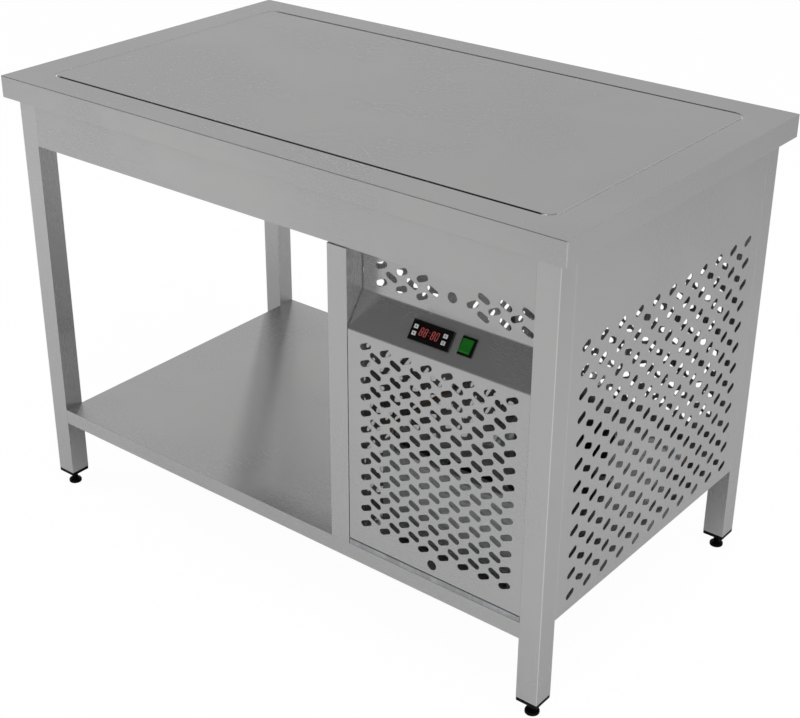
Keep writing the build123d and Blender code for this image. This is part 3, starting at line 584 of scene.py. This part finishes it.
def makeFrontPanel(p, grid):
    profile = [(p["face"] + p["flange"], p["foot"]), (p["face"], p["foot"]), (p["face"], p["consoleFoot"]),
               (p["recess"], p["consoleHead"]), (p["recess"], p["top"]),
               (p["recess"] + p["flange"], p["top"])]
    middle, finger = p["middle"], (p["finger"],)
    lower = interlacedSlots(grid, p["foot"])
    lower.append(("round", finger, middle, p["fingerLow"] - p["foot"], 0.0))
    slot, tilt = grid["slot"], math.radians(grid["tilt"])
    height = p["upperCentre"] - p["consoleHead"]
    upper = [("round", finger, middle, height, 0.0)]
    for i in range(p["upperColumns"]):
        u = grid["start"][0] + i * grid["pitch"][0]
        inner = u + grid["pitch"][0] / 2
        for step in (-p["upperStep"], p["upperStep"]):
            upper.append(("slot", slot, u, height + step, tilt))
            upper.append(("slot", slot, 2 * middle - u, height + step, -tilt))
        upper.append(("slot", slot, inner, height, -tilt))
        upper.append(("slot", slot, 2 * middle - inner, height, tilt))
    slope = math.hypot(p["recess"] - p["face"], p["consoleHead"] - p["consoleFoot"])
    console = [("cutOut", (w, h), x, slope / 2 + up, 0.0) for x, up, w, h in (p["controller"], p["switch"])]
    bm = bmesh.new()
    foldSheet(bm, profile, (p["left"], p["right"]), p["bend"], p["sheet"], alongX,
              {1: lower, 2: console, 3: upper})
    for x in (p["left"], p["right"] - p["sheet"]):
        addPlate(bm, (x, p["face"] + p["sheet"], p["foot"] + p["bend"]),
                 (x + p["sheet"], p["face"] + p["sideReturn"], p["returnTop"]))
    addPiece(bm, "frontGrille", "steelAlong", "front_panel", body="front_panel")


makeFrontPanel(frontPanel, frontGrid)

# right side panel, with a highlight painted on its rounded upright edges
sidePanel = {"face": 0.58, "reach": 0.28995, "foot": 0.18, "top": 0.84, "flange": 0.039, "bend": 0.0011,
             "edge": 0.0013, "sheet": 0.001, "sideReturn": 0.02, "returnTop": 0.723, "edgeHighlightShare": 0.7}
sideGrid = {"slot": (0.0235, 0.011), "pitch": (0.050, 0.040), "start": (-0.25, 0.209), "columns": 11,
            "rows": 12, "tilt": 25.0}


def makeSidePanel(p, grid):
    # drawn upwards, so that the upright edges are rounded; the flange and the returns stand behind them
    back, reach = p["face"] - p["edge"], p["reach"]
    cuts = [(kind, size, v, u + reach, math.pi / 2 - turn)
            for kind, size, u, v, turn in interlacedSlots(grid)]
    bm = bmesh.new()
    foldSheet(bm, [(back, -reach), (p["face"], -reach), (p["face"], reach), (back, reach)],
              (p["foot"], p["top"]), p["bend"], p["sheet"], alongZ, {1: cuts})
    # a highlight painted on the rounded upright edges
    markFaces(bm, "paintedEdgeHighlight", p["edgeHighlightShare"], onCorner)
    for y in (-reach, reach - p["sheet"]):
        addPlate(bm, (p["face"] - p["sideReturn"], y, p["foot"]), (back, y + p["sheet"], p["returnTop"]))
    addPlate(bm, (p["face"] - p["flange"], -reach, p["foot"]), (back, reach, p["foot"] + p["sheet"]))
    addPiece(bm, "sideGrille", "steelUp", "side_panel")


makeSidePanel(sidePanel, sideGrid)

# partition between the bays: a wall with flanges above and below, and folded posts at both ends
partition = {"face": 0.15, "post": 0.19, "front": -0.33, "postReturn": 0.042, "rearReturn": 0.012,
             "wall": 0.278, "foot": 0.18, "postTop": 0.722, "top": 0.764, "flange": 0.02, "bend": 0.0015,
             "sheet": 0.001}
partitionGrid = {**sideGrid, "start": (-0.249, 0.208), "tilt": -25.0}


def makePartition(p, grid):
    face, post, front, wall = p["face"], p["post"], p["front"], p["wall"]
    inner, height = face + p["flange"], (p["foot"], p["postTop"])
    bm = bmesh.new()
    foldSheet(bm, [(inner, p["foot"]), (face, p["foot"]), (face, p["top"]), (inner, p["top"])], (-wall, wall),
              p["bend"], p["sheet"], alongY, {1: interlacedSlots(grid, p["foot"])})
    foldSheet(bm, [(post, front + p["postReturn"]), (post, front), (face, front), (face, -wall)], height,
              p["bend"], p["sheet"], alongZ, {})
    foldSheet(bm, [(face, wall), (face, -front), (post, -front), (post, -front - p["rearReturn"])], height,
              p["bend"], p["sheet"], alongZ, {})
    addPiece(bm, "bayWall", "steelUp", "partition")


makePartition(partition, partitionGrid)

# rear panel
rearPanel = {"left": 0.192, "right": 0.5394, "face": 0.33, "foot": 0.1915, "top": 0.722, "flange": 0.012,
             "bend": 0.0015, "sheet": 0.001, "gland": (0.24, 0.216, 0.008)}
rearGrid = {**frontGrid, "start": (0.222, 0.233), "tilt": -25.0}


def makeRearPanel(p, grid):
    x, z, radius = p["gland"]
    cuts = interlacedSlots(grid, p["foot"])
    cuts.append(("round", (radius,), x, z - p["foot"], 0.0))
    inner = p["face"] - p["flange"]
    bm = bmesh.new()
    foldSheet(bm, [(inner, p["foot"]), (p["face"], p["foot"]), (p["face"], p["top"]), (inner, p["top"])],
              (p["left"], p["right"]), p["bend"], -p["sheet"], alongX, {1: cuts})
    addPiece(bm, "rearGrille", "steelAlong", "rear_panel")


makeRearPanel(rearPanel, rearGrid)
print("perforated sheets made")


def consoleSpot(x, up, out, p=frontPanel):
    # a place on the slanted console, counted up from its middle line and out from its face
    slope = Vector((0.0, p["recess"] - p["face"], p["consoleHead"] - p["consoleFoot"])).normalized()
    outward = Vector((0.0, -slope.z, slope.y))
    middle = Vector((x, (p["face"] + p["recess"]) / 2, (p["consoleFoot"] + p["consoleHead"]) / 2))
    spot = Matrix((Vector((1, 0, 0)), slope, outward)).transposed().to_4x4()
    spot.translation = middle + slope * up + outward * out
    return spot


# figures of the display: leaning seven-bar digits with two dots in the middle
figures = {"centre": 0.3422, "face": 0.006, "height": 0.0125, "width": 0.0043, "step": 0.0080, "gap": 0.0058,
           "bar": 0.0006, "barGap": 0.00054, "barPoint": 0.000288, "dot": 0.00042, "dotRise": 0.0025,
           "thickness": 0.00025, "lean": 0.13, "shown": ("8", "8", "8", "0")}


def addBar(bm, length, p, place):
    # a flat bar with pointed ends
    made = bmesh.ops.create_cube(bm, size=1.0)["verts"]
    bmesh.ops.scale(bm, verts=made, vec=(length, p["bar"], p["thickness"]))
    ends = [e for e in edgesAmong(bm, made) if abs(e.verts[0].co.z - e.verts[1].co.z) > p["thickness"] / 2]
    shape = bmesh.ops.bevel(bm, geom=ends, offset=p["barPoint"], offset_type="OFFSET", segments=1,
                            profile=0.5, affect="EDGES", material=-1)
    made = {v for f in shape["faces"] for v in f.verts} | {v for v in made if v.is_valid}
    bmesh.ops.transform(bm, verts=list(made), matrix=place)


def makeFigures(p):
    bm = bmesh.new()
    half, tall = p["width"] / 2, p["height"] / 2
    middleBar = (0.0, 0.0, 0)
    bars = [(0.0, tall, 0), middleBar, (0.0, -tall, 0)]
    bars += [(side * half, level * tall / 2, 1) for side in (-1, 1) for level in (-1, 1)]
    places = [math.copysign(p["gap"] / 2, k) + k * p["step"] for k in (-1.5, -0.5, 0.5, 1.5)]
    for place, digit in zip(places, p["shown"]):
        for bar in bars:
            if digit == "0" and bar == middleBar:
                continue
            x, y, upright = bar
            spot = Matrix.Translation((place + x, y, 0.0)) @ Matrix.Rotation(upright * math.pi / 2, 4, "Z")
            addBar(bm, (tall if upright else p["width"]) - p["barGap"], p, spot)
    for level in (-p["dotRise"], p["dotRise"]):
        made = bmesh.ops.create_cone(bm, cap_ends=True, segments=12, radius1=p["dot"], radius2=p["dot"],
                                     depth=p["thickness"])["verts"]
        bmesh.ops.translate(bm, verts=made, vec=(0.0, level, 0.0))
    lean = Matrix.Identity(4)
    lean[0][1] = p["lean"]
    place = consoleSpot(p["centre"], 0.0, p["face"] + p["thickness"] / 2) @ lean
    addPiece(bm, "displayFigures", "figureRed", place=place, body="front_panel")


makeFigures(figures)

# marks printed on the keys: an arrow up, an arrow down, a square and a ring
keyMarks = {"face": 0.0068, "sides": (3, 3, 4, 16), "turns": (0.0, 60.0, 45.0, 0.0),
            "places": ((-0.028, 0.0055), (-0.028, -0.0055), (0.028, 0.0055), (0.028, -0.0055)),
            "radius": 0.0021, "line": 0.0009, "thickness": 0.00008}


def makeKeyMark(number, p):
    sides, turn, (x, up) = [p[label][number - 1] for label in ("sides", "turns", "places")]
    bm = bmesh.new()
    bmesh.ops.create_circle(bm, cap_ends=True, segments=sides, radius=p["radius"])
    if sides > 3:
        rim = bmesh.ops.inset_region(bm, faces=bm.faces[:], use_boundary=True, use_even_offset=True,
                                     thickness=p["line"])["faces"]
        bmesh.ops.delete(bm, geom=[f for f in bm.faces if f not in rim], context="FACES_ONLY")
    made = bmesh.ops.extrude_face_region(bm, geom=bm.faces[:])["geom"]
    raised = [v for v in made if isinstance(v, bmesh.types.BMVert)]
    bmesh.ops.translate(bm, verts=raised, vec=(0.0, 0.0, p["thickness"]))
    spot = consoleSpot(frontPanel["controller"][0] + x, up, p["face"])
    addPiece(bm, "keyMark.%d" % number, "keyInk", body="key_%d" % number,
             place=spot @ Matrix.Rotation(math.radians(turn), 4, "Z"))


for number in range(1, 1 + len(keyMarks["sides"])):
    makeKeyMark(number, keyMarks)
print("display figures and key marks made")


# refrigerating unit behind the grilles

def bentPipe(points, radius, bend):
    # a ring of edges is drawn along each run and spun round each corner
    bm = bmesh.new()
    runs = [Vector(point) for point in points]
    heading = (runs[1] - runs[0]).normalized()
    made = bmesh.ops.create_circle(bm, segments=facets["pipe"], radius=radius)["verts"]
    start = Matrix.Translation(runs[0]) @ heading.to_track_quat("Z", "Y").to_matrix().to_4x4()
    bmesh.ops.transform(bm, verts=made, matrix=start)
    ring = bm.edges[:]
    bmesh.ops.contextual_create(bm, geom=ring)
    at = runs[0]
    for corner, after in zip(runs[1:], runs[2:] + [None]):
        stop = corner - heading * bend if after else corner
        fresh = drawOut(bm, ring, stop - at)
        ring = edgesAmong(bm, fresh)
        if after:
            nextHeading = (after - corner).normalized()
            turn = heading.angle(nextHeading)
            axis = heading.cross(nextHeading).normalized()
            pivot = stop + axis.cross(heading) * (bend / math.tan(turn / 2))
            spun = bmesh.ops.spin(bm, geom=fresh + ring, cent=pivot, axis=axis, angle=turn,
                                  steps=facets["elbow"])["geom_last"]
            ring = [e for e in spun if isinstance(e, bmesh.types.BMEdge)]
            at = corner + nextHeading * bend
            heading = nextHeading
    bmesh.ops.contextual_create(bm, geom=ring)
    return bm


pipeBend = 0.012
pipes = {       # radius and route
    "discharge_line": (0.004, ((0.345, -0.015, 0.302), (0.345, -0.043, 0.302), (0.345, -0.043, 0.402),
                               (0.237, -0.043, 0.402), (0.237, -0.272, 0.402), (0.237, -0.272, 0.374))),
    "liquid_line": (0.004, ((0.504, -0.272, 0.206), (0.524, -0.272, 0.206), (0.524, 0.158, 0.206))),
    "capillary_tube": (0.0015, ((0.524, 0.270, 0.206), (0.524, 0.300, 0.206), (0.524, 0.300, 0.746),
                                (0.470, 0.250, 0.746), (0.470, 0.250, 0.840))),
    "suction_line": (0.005, ((0.470, -0.250, 0.840), (0.470, -0.250, 0.746), (0.242, -0.250, 0.746),
                             (0.242, 0.060, 0.746), (0.242, 0.060, 0.312), (0.270, 0.060, 0.312))),
}
for node, (radius, route) in pipes.items():
    addPiece(bentPipe(route, radius, pipeBend), "bent." + node, "copper", node, smooth=40.0)

# compressor: a can with a welded seam on a foot plate, its terminal cover, grommets and drier
compressor = {"centre": (0.345, 0.060), "floor": 0.207, "radius": 0.0745, "height": 0.165, "baseBend": 0.018,
              "domeBend": 0.044, "seam": 0.088, "seamOut": 0.0022, "seamWidth": 0.006, "seamEdge": 0.00088,
              "plate": (0.200, 0.120, 0.012), "plateThickness": 0.003}
terminalCover = {"size": (0.045, 0.056, 0.060), "out": 0.0825, "height": 0.290, "corner": 0.008,
                 "edge": 0.003}
grommet = {"radius": 0.011, "waist": 0.0085, "height": 0.014, "edge": 0.0015, "waistEdge": 0.0012,
           "tray": unitTray["top"], "places": (0.080, 0.042)}
drier = {"x": 0.524, "from": 0.158, "to": 0.270, "height": 0.206, "radius": 0.010, "neck": 0.0045,
         "neckEnd": 0.005, "body": 0.012, "neckBend": 0.002, "bodyBend": 0.003}


def makeCompressor(p):
    radius, seam, edge, height = p["radius"], p["seam"], p["seamEdge"], p["height"]
    out, above = radius + p["seamOut"], seam + p["seamWidth"]
    outline = [(0.0, 0.0), (radius, 0.0), (radius, seam), (out, seam), (out, above), (radius, above),
               (radius, height), (0.0, height)]
    bm = turned(outline, [p["baseBend"], 0.0, edge, edge, 0.0, p["domeBend"]], steps=64, cornerSteps=10)
    plate = closedBody([(*p["plate"], -p["plateThickness"]), (*p["plate"], 0.0)], steps=6)
    addMesh(bm, plate, Matrix.Identity(4))
    addPiece(bm, "compressorCan", "canBlack", "compressor",
             Matrix.Translation((*p["centre"], p["floor"])), smooth=30.0)


def makeTerminalCover(p, can):
    depth, width, height = p["size"]
    outer, edge = (height, width, p["corner"]), p["edge"]
    rings = [(*outer, -depth / 2), *bendIn((*outer, depth / 2 - edge), edge, edge)]
    x, y = can["centre"]
    place = Matrix.Translation((x + p["out"], y, p["height"])) @ Matrix.Rotation(math.pi / 2, 4, "Y")
    addPiece(closedBody(rings, steps=5), "terminalHood", "blackPlastic",
             "terminal_cover", place)


def makeGrommets(p, can):
    radius, waist, height = p["radius"], p["waist"], p["height"]
    low, high = height / 3, 2 * height / 3
    outline = [(0.0, 0.0), (radius, 0.0), (radius, low), (waist, low), (waist, high), (radius, high),
               (radius, height), (0.0, height)]
    bends = [p["edge"], p["waistEdge"], 0.0, 0.0, p["waistEdge"], p["edge"]]
    x, y = can["centre"]
    bm = bmesh.new()
    for sideX in (-1, 1):
        for sideY in (-1, 1):
            spot = (x + sideX * p["places"][0], y + sideY * p["places"][1], p["tray"])
            addMesh(bm, turned(outline, bends, steps=28, cornerSteps=3), Matrix.Translation(spot))
    addPiece(bm, "rubberGrommets", "softRubber", "compressor_grommets", smooth=35.0)


def makeDrier(p):
    length = p["to"] - p["from"]
    neck, radius, neckEnd, body = p["neck"], p["radius"], p["neckEnd"], p["body"]
    outline = [(0.0, 0.0), (neck, 0.0), (neck, neckEnd), (radius, body), (radius, length - body),
               (neck, length - neckEnd), (neck, length), (0.0, length)]
    bends = [0.0, p["neckBend"], p["bodyBend"], p["bodyBend"], p["neckBend"], 0.0]
    place = Matrix.Translation((p["x"], p["to"], p["height"])) @ facingFront
    addPiece(turned(outline, bends, steps=32), "filterDrier", "copper", "filter_drier", place,
             smooth=35.0)


makeCompressor(compressor)
makeTerminalCover(terminalCover, compressor)
makeGrommets(grommet, compressor)
makeDrier(drier)

# fan: shroud with a rolled duct, motor and rotor, all on one axis from back to front
fan = {"axis": (0.365, 0.282), "duct": 0.0862, "ductBack": 0.180, "mouthBend": 0.004,
       "shroud": (0.286, 0.184, 0.004), "shroudFront": 0.259, "shroudBack": 0.220, "shroudBend": 0.003,
       "sheet": 0.0012, "motor": (0.066, 0.066, 0.014), "motorFront": 0.178, "motorBack": 0.126,
       "motorEdge": 0.004, "hub": 0.024, "hubFront": 0.212, "hubBack": 0.188, "hubEdge": 0.006, "blades": 5,
       "rootRadius": 0.022, "rootChord": 0.028, "tipRadius": 0.075, "tipChord": 0.050, "pitch": 24.0,
       "twist": 12.0, "camber": 0.16, "bow": 0.8, "bladeThickness": 0.0015, "bladeSteps": 5}


def onFanAxis(p):
    x, z = p["axis"]
    return Matrix.Translation((x, 0.0, z)) @ facingFront


def makeShroud(p):
    outer, duct = p["shroud"], (2 * p["duct"], 2 * p["duct"], p["duct"])
    bend, bell, back = p["shroudBend"], p["mouthBend"], p["shroudBack"]
    rings = [(*outer, p["shroudFront"]), *bendIn((*outer, back + bend), bend, -bend),
             *bendOut((*duct, back - bell), -bell, bell), (*duct, p["ductBack"])]
    bm = bmesh.new()
    bridgeRings(bm, rings, steps=12)
    thicken(bm, p["sheet"], outward=True)
    addPiece(bm, "fanCowl", "galvanised", "fan_shroud", onFanAxis(p), smooth=40.0)


def makeMotor(p):
    outer, edge = p["motor"], p["motorEdge"]
    rings = bendOut((*outer, p["motorBack"] + edge), edge, -edge)
    rings += bendIn((*outer, p["motorFront"] - edge), edge, edge)
    addPiece(closedBody(rings, steps=6), "fanMotorCase", "galvanised", "fan_motor",
             onFanAxis(p), smooth=40.0)


def turnBlade(blade, verts, degrees):
    turn = Matrix.Rotation(math.radians(degrees), 3, "X")
    bmesh.ops.rotate(blade, verts=verts, cent=(0, 0, 0), matrix=turn)


def makeBlade(p):
    # a bowed chord drawn out from the hub, wider and flatter towards the tip
    blade = bmesh.new()
    root, half, steps = p["rootRadius"], p["rootChord"] / 2, p["bladeSteps"]
    chord = [(root, -half, 0.0), (root, 0.0, p["camber"] * half), (root, half, 0.0)]
    drawLine(blade, chord, [half * p["bow"]], steps=5)
    widen = (p["tipChord"] / p["rootChord"]) ** (1.0 / steps)
    reach = (p["tipRadius"] - root) / steps
    turnBlade(blade, blade.verts[:], p["pitch"] + p["twist"] / 2)
    edges = blade.edges[:]
    for step in range(steps):
        verts = drawOut(blade, edges, (reach, 0.0, 0.0))
        bmesh.ops.scale(blade, verts=verts, vec=(1.0, widen, widen))
        turnBlade(blade, verts, -p["twist"] / steps)
        edges = edgesAmong(blade, verts)
    thicken(blade, p["bladeThickness"])
    return blade


def makeRotor(p):
    back, front = p["hubBack"], p["hubFront"]
    bm = turned([(0.0, back), (p["hub"], back), (p["hub"], front), (0.0, front)],
                [p["hubEdge"] / 4, p["hubEdge"]])
    for number in range(p["blades"]):
        turn = Matrix.Rotation(2 * math.pi * number / p["blades"], 4, "Z")
        addMesh(bm, makeBlade(p), Matrix.Translation((0.0, 0.0, (front + back) / 2)) @ turn)
    addPiece(bm, "fanBlades", "canBlack", "fan_rotor", onFanAxis(p), smooth=40.0,
             body="fan")


makeShroud(fan)
makeMotor(fan)
makeRotor(fan)

# mains connection: a lidded box on the tray and the gland in the rear panel
terminalBox = {"lid": (0.080, 0.075, 0.005), "centre": (0.245, 0.272), "floor": unitTray["top"],
               "top": 0.250, "edge": 0.002, "lidHeight": 0.016, "seam": 0.0012}
gland = {"thread": 0.0079, "threadLength": 0.012, "hex": 0.0125, "hexHeight": 0.005, "nut": 0.0105,
         "nutTop": 0.016, "nutEdge": 0.0036, "bore": 0.0045, "boreEdge": 0.0012}


def makeTerminalBox(p):
    lid, edge = p["lid"], p["edge"]
    body, split = drawnIn(lid, p["seam"]), p["top"] - p["lidHeight"]
    rings = [(*body, p["floor"]), (*body, split), (*lid, split), *bendIn((*lid, p["top"] - edge), edge, edge)]
    addPiece(closedBody(rings, steps=5), "junctionBox", "boxGrey", "terminal_box",
             Matrix.Translation((*p["centre"], 0.0)))


def makeGland(p, panel):
    # threaded sleeve, hexagon and domed nut round the cord's bore
    bore, thread, inner, nut, top = p["bore"], p["thread"], -p["threadLength"], p["nut"], p["nutTop"]
    outline = [(bore, inner), (thread, inner), (thread, 0.0), (nut, p["hexHeight"]), (nut, top),
               (bore, top), (bore, inner)]
    bm = turned(outline, [0.0, 0.0, 0.0, p["nutEdge"], p["boreEdge"]], steps=36)
    hexagon = bmesh.new()
    bmesh.ops.create_cone(hexagon, cap_ends=True, segments=6, radius1=p["hex"], radius2=p["hex"],
                          depth=p["hexHeight"])
    addMesh(bm, hexagon, Matrix.Translation((0.0, 0.0, p["hexHeight"] / 2)))
    x, z = panel["gland"][:2]
    place = Matrix.Translation((x, panel["face"], z)) @ Matrix.Rotation(-math.pi / 2, 4, "X")
    addPiece(bm, "cordGland", "blackPlastic", "cord_gland", place, smooth=30.0)


makeTerminalBox(terminalBox)
makeGland(gland, rearPanel)
print("refrigerating unit made")


# floor, light and camera

stageLook = {"floorSize": 9.0, "floorDrop": 0.0004, "floorColour": (0.90, 0.90, 0.90), "floorShare": 0.95,
             "floorGlow": 1.02, "sky": 0.41, "fill": 0.45, "shadeDirection": (-0.55, -0.46, 0.70),
             "shadeFrom": 0.76, "shadeTo": 1.02, "shade": 0.03}


def addObject(name, data):
    made = bpy.data.objects.new(name, data)
    bpy.context.scene.collection.objects.link(made)
    return made


def seenStraight(tree, ray):
    # one where the eye meets the surface straight or through glass
    straight = addNode(tree, "ShaderNodeMath", operation="MAXIMUM")
    wire(tree, (ray, "Is Camera Ray", straight, 0), (ray, "Is Transmission Ray", straight, 1))
    return straight


def makeFloor(p):
    # nearly white to the eye, with a trace of the table's shadow; metal mirrors the lit paint
    bm = bmesh.new()
    bmesh.ops.create_grid(bm, x_segments=1, y_segments=1, size=p["floorSize"] / 2)
    bmesh.ops.translate(bm, verts=bm.verts[:], vec=(0.0, 0.0, -p["floorDrop"]))
    mesh = bpy.data.meshes.new("floor")
    bm.to_mesh(mesh)
    bm.free()
    material = bpy.data.materials.new("floorWhite")
    material.use_nodes = True
    tree = material.node_tree
    tree.nodes.remove(tree.nodes["Principled BSDF"])
    straight = seenStraight(tree, addNode(tree, "ShaderNodeLightPath"))
    seen = addNode(tree, "ShaderNodeMath", {1: p["floorShare"]}, operation="MULTIPLY")
    paint = addNode(tree, "ShaderNodeBsdfDiffuse", {"Color": (*p["floorColour"], 1.0)})
    white = addNode(tree, "ShaderNodeEmission", {"Strength": p["floorGlow"]})
    mix = addNode(tree, "ShaderNodeMixShader")
    wire(tree, (straight, "Value", seen, 0), (seen, "Value", mix, 0), (paint, "BSDF", mix, 1),
         (white, "Emission", mix, 2), (mix, "Shader", tree.nodes["Material Output"], "Surface"))
    mesh.materials.append(material)
    floor = addObject("floor", mesh)
    return floor


def makeWorld(p):
    # white all round, with a dim side of the studio to the left behind the camera
    world = bpy.data.worlds.new("studio")
    bpy.context.scene.world = world
    world.use_nodes = True
    tree = world.node_tree
    tree.nodes.clear()
    ray = addNode(tree, "ShaderNodeLightPath")
    place = addNode(tree, "ShaderNodeTexCoord")
    facing = addNode(tree, "ShaderNodeVectorMath", {1: Vector(p["shadeDirection"]).normalized()},
                     operation="DOT_PRODUCT")
    dim = addNode(tree, "ShaderNodeMapRange", {"From Min": p["shadeFrom"], "From Max": p["shadeTo"],
                                               "To Min": p["sky"], "To Max": p["shade"]},
                  interpolation_type="SMOOTHSTEP")
    plainWhite = (1.0, 1.0, 1.0, 1.0)
    mirrored = addNode(tree, "ShaderNodeBackground", {"Color": plainWhite})
    fill = addNode(tree, "ShaderNodeBackground", {"Color": plainWhite, "Strength": p["fill"]})
    white = addNode(tree, "ShaderNodeBackground", {"Color": plainWhite, "Strength": 1.0})
    metal = addNode(tree, "ShaderNodeMixShader")
    final = addNode(tree, "ShaderNodeMixShader")
    output = addNode(tree, "ShaderNodeOutputWorld")
    wire(tree, (place, "Generated", facing, 0), (facing, "Value", dim, "Value"),
         (dim, "Result", mirrored, "Strength"), (ray, "Is Glossy Ray", metal, 0),
         (fill, "Background", metal, 1), (mirrored, "Background", metal, 2),
         (seenStraight(tree, ray), "Value", final, 0), (metal, "Shader", final, 1),
         (white, "Background", final, 2), (final, "Shader", output, "Surface"))


lamps = {
    "overhead": {"place": (1.60, -0.60, 3.0), "aim": (1.60, -0.30, 0.0), "size": (2.4, 1.8), "power": 33.0,
                 "lights": "floor"},
    "front": {"place": (-2.40, -1.90, 2.2), "aim": (-2.10, -1.40, 0.0), "size": (1.6, 1.6), "power": 22.5,
              "lights": "all"},
    "rear": {"place": (-1.60, 1.00, 2.6), "aim": (-0.40, 0.0, 0.6), "size": (1.0, 1.0), "power": 42.0,
             "lights": "table"},
    "glint": {"place": (0.45, -1.65, 3.0), "aim": (0.50, -0.29, 0.85), "size": (1.2, 0.5), "power": 9.6,
              "mirrored": True, "lights": "table"},
    "keyLight": {"place": (-0.510, 0.654, 0.559), "aim": (0.0, 0.0, 0.0), "angle": 3.2, "power": 6.4,
                 "lights": "table"},
}


def makeLamp(name, p, floor):
    # a lamp with an angle is a far one, and a mirrored one shows only as a glint on metal
    light = bpy.data.lights.new(name, "SUN" if "angle" in p else "AREA")
    if "angle" in p:
        light.angle = math.radians(p["angle"])
    else:
        light.shape = "RECTANGLE"
        light.size, light.size_y = p["size"]
    light.energy = p["power"]
    lamp = addObject(name, light)
    lamp.visible_glossy = "mirrored" in p
    lamp.visible_diffuse = "mirrored" not in p
    if p["lights"] != "all":                # it lights only the floor, or only the table
        limits = bpy.data.collections.new(name + "Limits")
        lamp.light_linking.receiver_collection = limits
        limits.objects.link(floor)
        state = "INCLUDE" if p["lights"] == "floor" else "EXCLUDE"
        limits.collection_objects[0].light_linking.link_state = state
    lamp.location = p["place"]
    lamp.rotation_euler = (Vector(p["aim"]) - Vector(p["place"])).to_track_quat("-Z", "Y").to_euler()


photoView = {"place": (1.601784, -1.969855, 1.649537), "azimuth": 39.266, "elevation": 26.896, "lens": 68.755,
             "sensor": 36.0, "shift": (0.0229, -0.01463)}


def makeCamera(p):
    data = bpy.data.cameras.new("photoCamera")
    data.sensor_width = p["sensor"]
    data.lens = p["lens"]
    data.shift_x, data.shift_y = p["shift"]
    camera = addObject("photoCamera", data)
    camera.location = p["place"]
    camera.rotation_euler = (math.radians(90.0 - p["elevation"]), 0.0, math.radians(p["azimuth"]))
    bpy.context.scene.camera = camera


floor = makeFloor(stageLook)
makeWorld(stageLook)
for lampName, lampLook in lamps.items():
    makeLamp(lampName, lampLook, floor)
makeCamera(photoView)
bpy.context.scene.view_settings.view_transform = "Standard"
print("stage, light and camera made")
